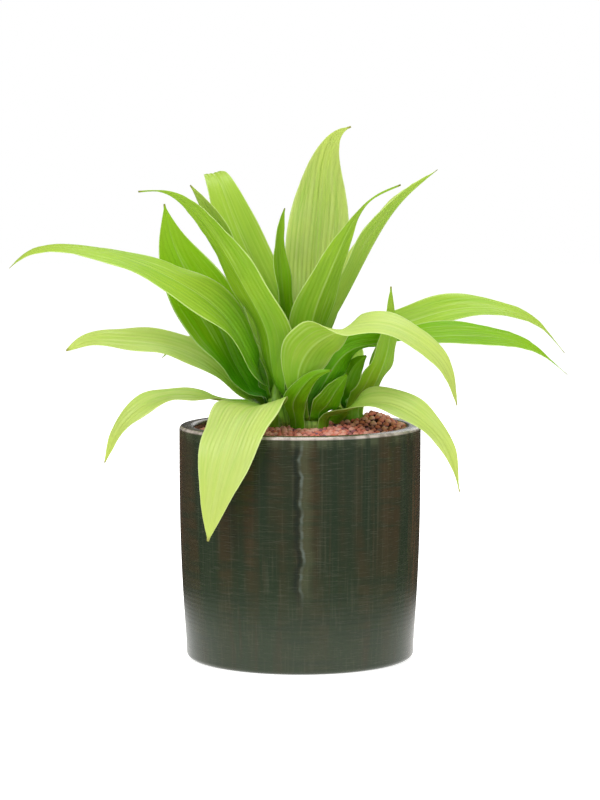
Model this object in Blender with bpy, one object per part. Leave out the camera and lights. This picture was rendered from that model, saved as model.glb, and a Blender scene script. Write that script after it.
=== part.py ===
"""Potted dracaena: three leafy shoots in clay granules, in a glazed cylindrical pot.

Metres, +Z up. The origin is the centre of the pot's flat base, and the front of the
plant faces -Y. Leaf sizes and routes are written in millimetres and turned into metres
when a blade is made.
"""
import math
from dataclasses import dataclass

import bmesh
import bpy
import numpy as np
from mathutils import Vector
from mathutils.geometry import delaunay_2d_cdt

MM = 0.001
CLEARANCE = 0.0003

# Pot, in metres
POT_HEIGHT = 0.213
POT_TOP_RADIUS = 0.110
POT_MIDDLE_RADIUS = 0.108
POT_LOW_RADIUS = 0.104
POT_BASE_RADIUS = 0.098
POT_MIDDLE_Z = 0.078
POT_LOW_Z = 0.014
POT_INNER_RADIUS = 0.0968
POT_INNER_LOW_RADIUS = 0.088
POT_FLOOR = 0.013
POT_THROAT = 0.184
RIM_ROUND = 0.0035
TURNED_STEPS = 60

# Growing medium and the clay granules on it, in metres
SOIL_TOP = 0.1925
GRANULE_LEVEL = 0.2115
GRANULE_EDGE_DROP = 0.0045
GRANULE_PITCH = 0.0098
GRANULE_RISE = 0.0028
MOUND_RISE = 0.0155
MOUND_CENTRE = (0.067, 0.013)
MOUND_SPREAD = 0.019
MOUND_GAP = 0.002
GRANULE_SEED = 7

# Shoots, in metres: the axis and the radius at which the lowest leaves clasp the stem
STEM_FOOT = 0.152
STEM_STEPS = 24
HOLE_STEPS = 48
HOLE_MARGIN_DEG = 9
HOLE_PLAY = 0.00045
SEAT_PITCH = 0.0045
SEAT_STEP_IN = 0.0015
SEAT_GAP = 0.0009


@dataclass(frozen=True)
class Shoot:
    """One stem: its axis, and the radius, height and number of its leaf seats."""

    x: float
    y: float
    radius: float
    seat_z: float
    levels: int


SHOOTS = {
    "left": Shoot(-0.022, 0.011, 0.015, 0.214, 7),
    "middle": Shoot(0.008, -0.002, 0.018, 0.214, 7),
    "right": Shoot(0.047, 0.010, 0.011, 0.2185, 2),
}

# Blades, in millimetres
BLADE_THICKNESS = 0.8
STATION_LENGTH = 23.0
FRAME_STEPS = 5
TIP_HALF_WIDTH = 1.0
CLASP_LEAN = 0.34
CLASP_LEAN_STEP = 0.02
SHEATH_LEAN = 0.12


@dataclass(frozen=True)
class Leaf:
    """One strap leaf; lengths in millimetres, angles in degrees.

    shoot and level give its seat on a stem, and heading the way that it faces there.
    route is the midrib's points after the clasping base. roll turns the blade about its
    midrib, fold raises both halves of it, each at even stations from base to tip. peak
    is where the blade is widest, taper how it narrows after that, neck how far its narrow
    base of half width base reaches, and rise how far that clasps the stem. sheath is how
    far the base runs down the stem below its seat. waves, lift and phase shape the waved
    margins, and cells is the number of cells across.
    """

    name: str
    shoot: str
    level: int
    heading: float
    width: float
    route: tuple
    roll: tuple = (0, 0, 0)
    fold: tuple = (0, 22, 14, 6, 2)
    cup: tuple = (0.012, -0.004, -0.006)
    peak: float = 0.5
    taper: float = 0.85
    neck: float = 42.0
    base: float = 8.0
    rise: float = 10.0
    sheath: float = 0.0
    waves: float = 3.5
    lift: float = 1.6
    phase: float = 0.0
    cells: int = 6


LEAVES = (
    Leaf("leaf_left_1", "left", 0, -115, 66,
         ((-34, -32, 232), (-45, -68, 234), (-58, -101, 216), (-69, -113, 184), (-81, -111, 121)),
         roll=(0, 14, 15, 6, 0), fold=(0, 12, 4, 4, 2), peak=0.40, taper=1.0, base=9.5,
         sheath=9),
    Leaf("leaf_left_2", "left", 1, -168, 29,
         ((-59, 0, 232), (-88, -9, 239), (-119, -22, 241), (-146, -32, 231), (-161, -35, 217),
          (-171, -37, 196), (-176, -37, 182)),
         roll=(0, -4, -14, -24, -18), base=5.5),
    Leaf("leaf_left_3", "left", 2, 162, 31,
         ((-45, 17, 236), (-62, 20, 248), (-85, 24, 267), (-118, 28, 282), (-165, 30, 289),
          (-198, 30, 287), (-215, 30, 278)),
         roll=(0, -30, -42, -42, -42, -42, -42), peak=0.45, taper=0.6, neck=26,
         base=9.5, rise=5),
    Leaf("leaf_left_4", "left", 4, 158, 57,
         ((-41, 15, 240), (-50, 17, 250), (-60, 19, 267), (-70, 21, 291), (-97, 24, 339),
          (-117, 26, 380), (-124, 24, 413)),
         roll=(0, -35, -60, -70, -70, -60), peak=0.5, taper=1.15, neck=30, base=8.5,
         rise=4),
    Leaf("leaf_left_5", "left", 5, -160, 51,
         ((-37, -4, 258), (-61, -17, 303), (-110, -29, 345), (-170, -36, 370), (-222, -36, 376),
          (-247, -33, 369), (-261, -30, 357)),
         roll=(0, -42, -50, -40, -23, -28, -30), fold=(0, 12, 2, -4, -4), peak=0.42, taper=0.92,
         neck=34, base=4.5),
    Leaf("leaf_left_6", "left", 7, 20, 38,
         ((-23, 6, 281), (-38, -2, 318), (-58, -8, 359), (-86, -10, 411), (-100, -10, 431)),
         roll=(0, 10, 20, 30), base=4.25),
    Leaf("leaf_left_7", "left", 0, 85, 38,
         ((-16, 48, 244), (-21, 92, 266), (-30, 165, 228)), base=9.5, cells=4),
    Leaf("leaf_left_8", "left", 3, 118, 34,
         ((-38, 38, 254), (-62, 66, 279), (-96, 108, 287), (-132, 150, 262)), base=7.25, cells=4),
    Leaf("leaf_left_9", "left", 6, 112, 30,
         ((-34, 36, 276), (-54, 58, 296), (-80, 86, 310), (-114, 124, 302)),
         base=5, cells=4),
    Leaf("leaf_middle_1", "middle", 0, -130, 24,
         ((-6, -23, 233), (-2, -32, 244), (6, -37, 255), (16, -41, 263), (28, -43, 266)),
         roll=(0, 12, 8, 0), fold=(0, 6, 22, 14), cup=(0.006, 0.0, -0.004), lift=0.5,
         peak=0.1, taper=0.9, neck=16, base=9, rise=6, sheath=9),
    Leaf("leaf_middle_2", "middle", 0, -35, 34,
         ((35, -16, 225), (55, -31, 234), (76, -45, 238), (108, -61, 224), (128, -67, 204),
          (142, -72, 160)),
         roll=(0, 42, 42, 36), peak=0.36, taper=1.05, neck=18, base=9, rise=5,
         sheath=9),
    Leaf("leaf_middle_3", "middle", 1, -114, 48,
         ((-2, -25, 243), (1, -34, 271), (17, -48, 293), (42, -62, 305), (75, -74, 310),
          (105, -80, 297), (129, -82, 274), (140, -80, 239)),
         roll=(0, 9, 34, 96, 103, 104, 104), fold=(0, 10, 8, 6, 2), peak=0.3,
         taper=0.8, neck=64, base=7.5),
    Leaf("leaf_middle_4", "middle", 1, -60, 30,
         ((22, -22, 231), (30, -24, 243), (37, -23, 253), (43, -20, 261)),
         roll=(0, -10, -15), fold=(0, 4, 6, 4), cup=(0.004, 0.0, -0.004), lift=0.5,
         peak=0.3, neck=18, base=7, rise=8),
    Leaf("leaf_middle_5", "middle", 2, -168, 51,
         ((-18, -9, 245), (-30, -22, 295), (-49, -30, 337), (-72, -28, 378), (-100, -19, 413),
          (-122, -14, 425), (-146, -8, 425)),
         roll=(0, 30, 28, 33, 43), peak=0.38, taper=1.8, base=8),
    Leaf("leaf_middle_6", "middle", 2, -80, 45,
         ((16, -21, 243), (27, -22, 262), (43, -22, 281), (70, -20, 289), (108, -19, 292),
          (162, -16, 294), (206, -16, 286), (242, -16, 260)),
         roll=(0, 5, 45, 92, 104, 98, 90), taper=1.1, neck=30, base=8),
    Leaf("leaf_middle_7", "middle", 3, 16, 38,
         ((27, 9, 253), (47, 17, 283), (91, 20, 302), (128, 20, 314), (166, 19, 320),
          (218, 17, 305), (241, 15, 280)),
         roll=(0, 18, 38, 36, 18, 10), taper=1.3, base=7),
    Leaf("leaf_middle_8", "middle", 4, -62, 41,
         ((9, -17, 291), (22, -20, 341), (40, -18, 383), (63, -12, 417), (91, -4, 431)),
         peak=0.34, taper=2.6),
    Leaf("leaf_middle_9", "middle", 5, 2, 59,
         ((23, 13, 289), (38, 22, 321), (70, 26, 379), (95, 30, 416), (126, 32, 444)),
         roll=(0, 5, 5, 5), fold=(0, 30, 34, 34, 25), peak=0.5, taper=1.2, neck=60, base=4),
    Leaf("leaf_middle_10", "middle", 5, 148, 43,
         ((-15, 13, 289), (-37, 28, 345), (-62, 44, 401), (-77, 60, 437), (-83, 84, 437),
          (-85, 99, 421)),
         roll=(0, -30, -40, -40), peak=0.45, neck=70, base=5),
    Leaf("leaf_middle_11", "middle", 6, 84, 59,
         ((12, 36, 287), (14, 62, 355), (20, 68, 423), (29, 66, 465), (37, 64, 478), (47, 61, 483)),
         roll=(0, 5, 10, 10), peak=0.55, taper=1.2, neck=80, base=4),
    Leaf("leaf_middle_12", "middle", 7, 150, 27,
         ((-11, 0, 290), (-21, 1, 358), (-21, 2, 381), (-14, 2, 410)),
         roll=(0, -10, -10), fold=(0, 30, 35, 30, 20), base=5.75),
    Leaf("leaf_middle_13", "middle", 0, 97, 34,
         ((9, 46, 236), (11, 90, 243), (12, 130, 205), (12, 138, 150)), base=9, cells=4),
    Leaf("leaf_middle_14", "middle", 2, 88, 38,
         ((24, 42, 254), (33, 84, 274), (42, 130, 272), (52, 195, 210)), neck=55, base=5.5, cells=4),
    Leaf("leaf_middle_15", "middle", 3, 122, 42,
         ((-6, 44, 272), (-12, 84, 320), (-16, 122, 336), (-22, 176, 290)), base=8.75, cells=4),
    Leaf("leaf_middle_16", "middle", 0, 20, 12,
         ((33, 2, 220), (38, -3, 221), (44, -8, 223)),
         roll=(0, 12, 25), fold=(0, 6, 4), lift=0.4, peak=0.4, neck=10, base=5,
         rise=4, sheath=9, cells=4),
    Leaf("leaf_right_1", "right", 1, -52, 31,
         ((61, -6, 241), (71, -22, 260), (79, -41, 289), (81, -50, 319), (81, -52, 342)),
         peak=0.14, taper=0.95, neck=14, base=12, rise=6, sheath=12),
    Leaf("leaf_right_2", "right", 2, -160, 24,
         ((40, -4, 247), (47, -9, 264), (60, -15, 277)),
         roll=(0, 20, 30), fold=(0, 30, 34, 20), neck=16, base=7, cells=4),
    Leaf("leaf_right_3", "right", 0, 84, 30,
         ((49, 54, 236), (48, 96, 234), (47, 130, 196), (47, 138, 150)), base=7.5, cells=4),
    Leaf("leaf_right_4", "right", 2, 30, 30,
         ((68, 22, 252), (83, 36, 287), (116, 56, 309), (163, 86, 316)), base=6, cells=4),
)

# Finishes: sRGB colour and roughness
GLAZE = ("#2c302a", 0.22)
GRANULE = ("#94563f", 0.85)
MEDIUM = ("#3a2c22", 0.95)
STEM = ("#8aa84a", 0.55)
OUTER_LEAF = "#c3e070"
INNER_LEAF = "#7fb42e"
LEAF_ROUGHNESS = 0.42


def linear(code):
    """Linear colour with alpha from an sRGB code such as #2c302a."""
    channels = [int(code[i:i + 2], 16) / 255 for i in (1, 3, 5)]
    return [c / 12.92 if c <= 0.04045 else ((c + 0.055) / 1.055) ** 2.4 for c in channels] + [1.0]


def finish(obj, colour, roughness):
    """Give an object a Principled material of its own."""
    material = bpy.data.materials.new(obj.name + "_finish")
    material.use_nodes = True
    shader = material.node_tree.nodes["Principled BSDF"]
    shader.inputs["Base Color"].default_value = colour
    shader.inputs["Roughness"].default_value = roughness
    shader.inputs["Metallic"].default_value = 0.0
    obj.data.materials.append(material)


def add_object(name, verts, faces, sharp_angle=40.0):
    """Add a closed mesh object with its faces pointing out."""
    mesh = bpy.data.meshes.new(name)
    mesh.from_pydata([tuple(map(float, v)) for v in verts], [], [tuple(map(int, f)) for f in faces])
    shape = bmesh.new()
    shape.from_mesh(mesh)
    bmesh.ops.recalc_face_normals(shape, faces=shape.faces)
    shape.to_mesh(mesh)
    shape.free()
    mesh.shade_smooth()
    mesh.set_sharp_from_angle(angle=math.radians(sharp_angle))
    obj = bpy.data.objects.new(name, mesh)
    bpy.context.scene.collection.objects.link(obj)
    return obj


def natural_spline(points, count):
    """count + 1 points, evenly spaced by length, on a natural cubic through points."""
    route = np.asarray(points, float)
    knots = np.r_[0.0, np.cumsum(np.linalg.norm(np.diff(route, axis=0), axis=1))]
    step = np.diff(knots)
    size = len(route)
    system = np.eye(size)
    change = np.zeros_like(route)
    for i in range(1, size - 1):
        system[i, i - 1:i + 2] = step[i - 1], 2 * (step[i - 1] + step[i]), step[i]
        ahead = (route[i + 1] - route[i]) / step[i]
        behind = (route[i] - route[i - 1]) / step[i - 1]
        change[i] = 6 * (ahead - behind)
    bend = np.linalg.solve(system, change)
    fine = np.linspace(0, knots[-1], 40 * size)
    cell = np.clip(np.searchsorted(knots, fine, side="right") - 1, 0, size - 2)
    h = step[cell][:, None]
    a = (knots[cell + 1] - fine)[:, None]
    b = (fine - knots[cell])[:, None]
    curve = (bend[cell] * a ** 3 + bend[cell + 1] * b ** 3) / (6 * h)
    curve += (route[cell] / h - bend[cell] * h / 6) * a
    curve += (route[cell + 1] / h - bend[cell + 1] * h / 6) * b
    run = np.r_[0.0, np.cumsum(np.linalg.norm(np.diff(curve, axis=0), axis=1))]
    even = np.linspace(0, run[-1], count + 1)
    return np.stack([np.interp(even, run, curve[:, k]) for k in range(route.shape[1])], axis=1)


def arc(centre, radius, start, end, count):
    """Points of an arc in the (radius, height) plane, angles in degrees."""
    angles = np.radians(np.linspace(start, end, count + 1))
    return [(centre[0] + radius * math.cos(a), centre[1] + radius * math.sin(a)) for a in angles]


def turned(name, outline, steps, centre=(0.0, 0.0)):
    """Turn an outline of (radius, height) points, whose ends are on the axis, once round."""
    verts = []
    rings = []
    for radius, height in outline:
        if radius == 0.0:
            rings.append([len(verts)])
            verts.append((centre[0], centre[1], height))
            continue
        rings.append(range(len(verts), len(verts) + steps))
        for k in range(steps):
            angle = 2 * math.pi * k / steps
            verts.append((centre[0] + radius * math.cos(angle),
                          centre[1] + radius * math.sin(angle), height))
    faces = []
    for low, high in zip(rings, rings[1:]):
        for k in range(steps):
            ring = [low[k % len(low)], low[(k + 1) % len(low)],
                    high[(k + 1) % len(high)], high[k % len(high)]]
            faces.append(list(dict.fromkeys(ring)))
    return add_object(name, verts, faces)


def pot_outer_wall():
    """Outer wall from the foot's edge to the rim: straight-sided, drawn in to the foot."""
    wall = natural_spline([(POT_LOW_RADIUS, POT_LOW_Z), (POT_MIDDLE_RADIUS, POT_MIDDLE_Z),
                           (POT_TOP_RADIUS, POT_HEIGHT - RIM_ROUND)], 6)
    return [tuple(p) for p in wall]


def make_pot():
    """Pot with a flat base, a rounded foot edge, a slightly flared wall and a rounded rim."""
    foot_round = POT_LOW_RADIUS - POT_BASE_RADIUS
    foot = arc((POT_BASE_RADIUS, foot_round), foot_round, -90, -15, 3)
    rim_z = POT_HEIGHT - RIM_ROUND
    rim = arc((POT_TOP_RADIUS - RIM_ROUND, rim_z), RIM_ROUND, 30, 90, 2)
    rim += arc((POT_INNER_RADIUS + RIM_ROUND, rim_z), RIM_ROUND, 90, 180, 3)
    inside = [(POT_INNER_RADIUS, POT_THROAT), (POT_INNER_LOW_RADIUS, POT_FLOOR + 0.006),
              (POT_INNER_LOW_RADIUS - 0.006, POT_FLOOR)]
    outline = [(0.0, 0.0)] + foot + pot_outer_wall() + rim + inside + [(0.0, POT_FLOOR)]
    pot = turned("pot", outline, TURNED_STEPS)
    finish(pot, linear(GLAZE[0]), GLAZE[1])


def stem_radius(shoot, height):
    """Radius of a stem, which narrows above its lowest seat."""
    taper = SEAT_STEP_IN / SEAT_PITCH
    return shoot.radius - SEAT_GAP - taper * max(0.0, height - shoot.seat_z)


def stem_tip(shoot):
    """Height of a stem's growing point."""
    return shoot.seat_z + SEAT_PITCH * shoot.levels + 0.006


def make_stem(side, shoot):
    """Stem: a straight root stock in its hole, then a cone that the leaves clasp."""
    tip = stem_tip(shoot)
    heights = [STEM_FOOT + 0.003, shoot.seat_z]
    heights += list(np.linspace(shoot.seat_z, tip, shoot.levels + 2)[1:])
    outline = [(0.0, STEM_FOOT), (stem_radius(shoot, 0.0) - 0.003, STEM_FOOT)]
    outline += [(stem_radius(shoot, h), float(h)) for h in heights]
    outline += [(stem_radius(shoot, tip) * 0.5, tip + 0.0012), (0.0, tip + 0.0016)]
    stem = turned("stem_" + side, outline, STEM_STEPS, (shoot.x, shoot.y))
    finish(stem, linear(STEM[0]), STEM[1])


def drill(obj, foot, top):
    """Cut a plain hole for each stem, from height foot to above height top."""
    for side, shoot in SHOOTS.items():
        radius = (stem_radius(shoot, 0.0) + CLEARANCE) / math.cos(math.pi / STEM_STEPS)
        cutter = turned("hole_" + side, [(0.0, foot), (radius, foot), (radius, top), (0.0, top)],
                        STEM_STEPS, (shoot.x, shoot.y))
        cutter.hide_render = True
        cutter.display_type = "WIRE"
        cut = obj.modifiers.new("hole_" + side, "BOOLEAN")
        cut.operation = "DIFFERENCE"
        cut.solver = "EXACT"
        cut.object = cutter


def make_soil():
    """Growing medium that fills the pot below the granules, with the stems' plain holes."""
    low = POT_INNER_LOW_RADIUS - CLEARANCE
    outline = [(0.0, POT_FLOOR + CLEARANCE), (low - 0.0065, POT_FLOOR + CLEARANCE),
               (low - 0.0002, POT_FLOOR + 0.0065), (POT_INNER_RADIUS - CLEARANCE, POT_THROAT),
               (POT_INNER_RADIUS - CLEARANCE, SOIL_TOP), (0.0, SOIL_TOP)]
    soil = turned("growing_medium", outline, TURNED_STEPS)
    drill(soil, STEM_FOOT - CLEARANCE, SOIL_TOP + 0.02)
    finish(soil, linear(MEDIUM[0]), MEDIUM[1])


def granule_height(x, y):
    """Height of the bed of granules between the grains, mounded at the back right."""
    radius = math.hypot(x, y)
    edge = min(1.0, max(0.0, (radius - 0.045) / 0.045))
    level = GRANULE_LEVEL - GRANULE_EDGE_DROP * edge * edge * (3 - 2 * edge)
    away = math.hypot(x - MOUND_CENTRE[0], y - MOUND_CENTRE[1]) / MOUND_SPREAD
    level += MOUND_RISE * math.exp(-away * away / 2)
    shoot = SHOOTS["right"]
    clear = math.hypot(x - shoot.x, y - shoot.y) - shoot.radius - MOUND_GAP
    return min(level, shoot.seat_z + max(0.0, clear)) - GRANULE_RISE


def ring(centre, radius, steps):
    """Corners of a ring of equal sides in the plane."""
    turns = [2 * math.pi * k / steps for k in range(steps)]
    return [Vector((centre[0] + radius * math.cos(a), centre[1] + radius * math.sin(a)))
            for a in turns]


def hole_radius(side, angle):
    """Radius of a stem's hole in the granules, wider where a leaf's sheath runs down."""
    shoot = SHOOTS[side]
    radius = stem_radius(shoot, 0.0) / math.cos(math.pi / STEM_STEPS)
    for leaf in LEAVES:
        if leaf.shoot != side or leaf.sheath == 0.0:
            continue
        off = abs((math.degrees(angle) - leaf.heading + 180) % 360 - 180)
        if off < math.degrees(leaf.base / seat_of(leaf)[0]) + HOLE_MARGIN_DEG:
            radius = shoot.radius + BLADE_THICKNESS * MM / 2
    return radius + HOLE_PLAY


def granule_edges():
    """Rings that bound the bed of granules: the pot's throat and the stems' holes."""
    rings = [ring((0.0, 0.0), POT_INNER_RADIUS - CLEARANCE, TURNED_STEPS)]
    for side, shoot in SHOOTS.items():
        loop = []
        for k in range(HOLE_STEPS):
            angle = 2 * math.pi * k / HOLE_STEPS
            radius = hole_radius(side, angle)
            loop.append(Vector((shoot.x + radius * math.cos(angle),
                                shoot.y + radius * math.sin(angle))))
        rings.append(loop)
    return rings


def in_bed(point, margin):
    """Whether a point lies in the bed, at least margin away from its edges."""
    if math.hypot(*point) > POT_INNER_RADIUS - CLEARANCE - margin:
        return False
    for side, shoot in SHOOTS.items():
        x, y = point[0] - shoot.x, point[1] - shoot.y
        if math.hypot(x, y) < hole_radius(side, math.atan2(y, x)) + margin:
            return False
    return True


def granule_points():
    """Tops of the grains on a shaken hexagonal lattice, and the hollows between them."""
    draw = np.random.default_rng(GRANULE_SEED)
    rows = int(POT_INNER_RADIUS / (GRANULE_PITCH * 0.866)) + 1
    tops = []
    hollows = []
    for j in range(-rows, rows + 1):
        for i in range(-rows - 2, rows + 3):
            x = (i + 0.5 * (j % 2)) * GRANULE_PITCH
            y = j * GRANULE_PITCH * 0.866
            shift = draw.uniform(-0.16, 0.16, 6) * GRANULE_PITCH
            swell = draw.uniform(0.75, 1.25)
            top = (x + shift[0], y + shift[1])
            if in_bed(top, GRANULE_PITCH * 0.3):
                tops.append((top, swell))
            for k, side in enumerate((-1, 1)):
                hollow = (x + shift[2 + 2 * k] * 0.4, y + side * GRANULE_PITCH * 0.577)
                if in_bed(hollow, GRANULE_PITCH * 0.2):
                    hollows.append(hollow)
    return tops, hollows


def encloses(loop, spot):
    """Whether a closed loop of corners goes round a spot."""
    inside = False
    for a, b in zip(loop, loop[1:] + loop[:1]):
        if (a.y > spot.y) != (b.y > spot.y):
            if spot.x < a.x + (b.x - a.x) * (spot.y - a.y) / (b.y - a.y):
                inside = not inside
    return inside


def triangulate(rings, extra):
    """Triangles of the bed seen from above, between the outer ring and the holes."""
    points = [p for loop in rings for p in loop] + [Vector(p) for p in extra]
    edges = []
    start = 0
    for loop in rings:
        edges += [(start + k, start + (k + 1) % len(loop)) for k in range(len(loop))]
        start += len(loop)
    _, _, faces, origin, _, _ = delaunay_2d_cdt(points, edges, [], 0, 1e-7)
    faces = [[origin[k][0] for k in face] for face in faces]
    kept = []
    for face in faces:
        middle = (points[face[0]] + points[face[1]] + points[face[2]]) / 3
        if not any(encloses(loop, middle) for loop in rings[1:]):
            kept.append(face)
    return points, kept


def make_granules():
    """Bed of expanded clay granules: a mounded layer with a grain raised in each cell."""
    rings = granule_edges()
    tops, hollows = granule_points()
    extra = [t for t, _ in tops] + hollows
    points, faces = triangulate(rings, extra)
    rim_count = sum(len(loop) for loop in rings)
    verts = []
    for k, point in enumerate(points):
        rise = 0.0
        if rim_count <= k < rim_count + len(tops):
            rise = GRANULE_RISE * tops[k - rim_count][1]
        verts.append((point.x, point.y, granule_height(point.x, point.y) + rise))
    floor = SOIL_TOP + CLEARANCE
    _, under = triangulate(rings, [])
    offset = len(verts)
    verts += [(p.x, p.y, floor) for loop in rings for p in loop]
    faces += [[offset + k for k in face] for face in under]
    start = 0
    for loop in rings:
        for k in range(len(loop)):
            a, b = start + k, start + (k + 1) % len(loop)
            faces += [[a, b, offset + b], [a, offset + b, offset + a]]
        start += len(loop)
    bed = add_object("granules", verts, faces, sharp_angle=60.0)
    finish(bed, linear(GRANULE[0]), GRANULE[1])


def eased(values, t):
    """Values at even stations from base to tip, joined by smooth steps."""
    values = np.asarray(values, float)
    spot = np.clip(t, 0, 1) * (len(values) - 1)
    low = np.minimum(spot.astype(int), len(values) - 2)
    part = spot - low
    part = part * part * (3 - 2 * part)
    return values[low] * (1 - part) + values[low + 1] * part


def half_widths(leaf, t, length):
    """Half width of a blade along its midrib: clasping base, widest part, tapering tip."""
    rise = 0.42 + 0.58 * np.sin(np.pi / 2 * np.clip(t / leaf.peak, 0, 1)) ** 1.4
    past = np.clip((t - leaf.peak) / (1 - leaf.peak), 0, 1)
    fall = np.maximum(np.cos(np.pi / 2 * past), 0) ** leaf.taper
    half = np.maximum(rise * fall * leaf.width / 2, TIP_HALF_WIDTH)
    reach = np.clip((t * length - 6) / leaf.neck, 0, 1)
    reach = reach * reach * (3 - 2 * reach)
    return half * reach + leaf.base * (1 - reach)


def seat_of(leaf):
    """Radius and height of a leaf's seat on its stem, in millimetres."""
    shoot = SHOOTS[leaf.shoot]
    radius = (shoot.radius - SEAT_STEP_IN * leaf.level) / MM
    return radius, (shoot.seat_z + SEAT_PITCH * leaf.level) / MM


def midrib(leaf, count):
    """Midrib points: up and out from the seat on the stem, then through the route."""
    shoot = SHOOTS[leaf.shoot]
    radius, height = seat_of(leaf)
    heading = math.radians(leaf.heading)
    lean = SHEATH_LEAN if leaf.sheath else CLASP_LEAN - CLASP_LEAN_STEP * leaf.level
    out = radius + lean * leaf.rise
    clasp = [(shoot.x / MM + r * math.cos(heading), shoot.y / MM + r * math.sin(heading), z)
             for r, z in ((radius, height), (out, height + leaf.rise))]
    return natural_spline(clasp + list(leaf.route), count)


def carried_sides(leaf, along):
    """Direction across the blade at each midrib point, carried along without twist."""
    heading = math.radians(leaf.heading)
    side = np.array([-math.sin(heading), math.cos(heading), 0.0])
    sides = np.zeros_like(along)
    for i, ahead in enumerate(along):
        side = side - ahead * (side @ ahead)
        side /= np.linalg.norm(side)
        sides[i] = side
    return sides


def blade_surface(leaf, stations, cells):
    """Middle surface of a blade as a grid of points, in millimetres."""
    fine = midrib(leaf, stations * FRAME_STEPS)
    spine = fine[::FRAME_STEPS]
    length = float(np.sum(np.linalg.norm(np.diff(fine, axis=0), axis=1)))
    t = np.linspace(0, 1, stations + 1)
    along = np.gradient(fine, axis=0)
    along /= np.linalg.norm(along, axis=1, keepdims=True)
    half = half_widths(leaf, t, length)
    roll = np.radians(eased(leaf.roll, t))
    fold = np.radians(eased(leaf.fold, t))
    clasp = np.clip(1 - t * length / 30, 0, 1) ** 2
    curl = eased(leaf.cup, t)
    curl = curl + (1 / seat_of(leaf)[0] - curl) * clasp
    curl = np.where(np.abs(curl) < 1e-5, 1e-5, curl)
    swell = np.maximum(np.sin(np.pi * t), 0) ** 0.8
    s = np.linspace(-1, 1, cells + 1)
    half_shift = np.where(s < 0, 0.0, 2.1)
    sides = carried_sides(leaf, along)[::FRAME_STEPS]
    grid = np.zeros((stations + 1, cells + 1, 3))
    for i in range(stations + 1):
        side = sides[i]
        up = np.cross(along[i * FRAME_STEPS], side)
        across = side * math.cos(roll[i]) + up * math.sin(roll[i])
        normal = up * math.cos(roll[i]) - side * math.sin(roll[i])
        arc_length = np.abs(s) * half[i]
        bent = fold[i] + curl[i] * arc_length
        reach = (np.sin(bent) - math.sin(fold[i])) / curl[i]
        raised = (math.cos(fold[i]) - np.cos(bent)) / curl[i]
        wave = np.sin(2 * math.pi * leaf.waves * t[i] + leaf.phase + half_shift)
        raised = raised + leaf.lift * swell[i] * s ** 2 * wave
        grid[i] = spine[i] + np.outer(np.sign(s) * reach, across) + np.outer(raised, normal)
    return grid


def with_sheath(leaf, grid):
    """The blade's grid with its foot carried down the stem as a sheath."""
    if leaf.sheath == 0.0:
        return grid
    shoot = SHOOTS[leaf.shoot]
    radius, height = seat_of(leaf)
    turns = math.radians(leaf.heading) + np.linspace(-1, 1, grid.shape[1]) * leaf.base / radius
    knee = leaf.level * SEAT_PITCH / MM
    drops = [leaf.sheath, knee] if leaf.level else [leaf.sheath]
    feet = []
    for drop in drops:
        out = radius + SEAT_STEP_IN / SEAT_PITCH * min(drop, knee)
        x = shoot.x / MM + out * np.cos(turns)
        y = shoot.y / MM + out * np.sin(turns)
        feet.append(np.stack([x, y, np.full_like(turns, height - drop)], axis=1))
    return np.concatenate([np.array(feet), grid])


def blade_solid(grid, thickness):
    """Vertices and triangles of a blade, split alike on its two faces."""
    normal = np.cross(np.gradient(grid, axis=0), np.gradient(grid, axis=1))
    normal /= np.linalg.norm(normal, axis=2, keepdims=True)
    upper = (grid + normal * thickness / 2).reshape(-1, 3)
    lower = (grid - normal * thickness / 2).reshape(-1, 3)
    rows, columns = grid.shape[:2]
    below = rows * columns
    index = np.arange(below).reshape(rows, columns)
    faces = []
    for i in range(rows - 1):
        for j in range(columns - 1):
            a, b, c, d = index[i, j], index[i + 1, j], index[i + 1, j + 1], index[i, j + 1]
            faces += [(a, b, c), (a, c, d), (below + a, below + c, below + b),
                      (below + a, below + d, below + c)]
    edge = list(index[:, 0]) + list(index[-1, 1:])
    edge += list(index[-2::-1, -1]) + list(index[0, -2:0:-1])
    for a, b in zip(edge, edge[1:] + edge[:1]):
        faces += [(a, b, below + b), (a, below + b, below + a)]
    return np.concatenate([upper, lower]), faces


def make_leaf(leaf):
    """One blade with its own green: the outer leaves are the paler ones."""
    rough = midrib(leaf, 40)
    length = float(np.sum(np.linalg.norm(np.diff(rough, axis=0), axis=1)))
    stations = max(5, round(length / STATION_LENGTH))
    grid = with_sheath(leaf, blade_surface(leaf, stations, leaf.cells))
    verts, faces = blade_solid(grid, BLADE_THICKNESS)
    obj = add_object(leaf.name, verts * MM, faces, sharp_angle=70.0)
    depth = min(1.0, leaf.level / 7)
    outer, inner = linear(OUTER_LEAF), linear(INNER_LEAF)
    finish(obj, [a * (1 - depth) + b * depth for a, b in zip(outer, inner)], LEAF_ROUGHNESS)


def main():
    """Clear the scene and build every node."""
    for obj in list(bpy.data.objects):
        bpy.data.objects.remove(obj, do_unlink=True)
    make_pot()
    make_soil()
    make_granules()
    for side, shoot in SHOOTS.items():
        make_stem(side, shoot)
    for leaf in LEAVES:
        make_leaf(leaf)


main()
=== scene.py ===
"""Potted dracaena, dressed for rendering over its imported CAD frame.

Everything is in metres in the frame's own axes: +Z up, the plant's front facing -Y and
the origin at the centre of the pot's flat base. Leaf sizes and routes, and the grain of
every finish, are written in millimetres, as a grower or a potter would measure them.
"""
import logging
import math
from dataclasses import dataclass
from enum import Enum

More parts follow.
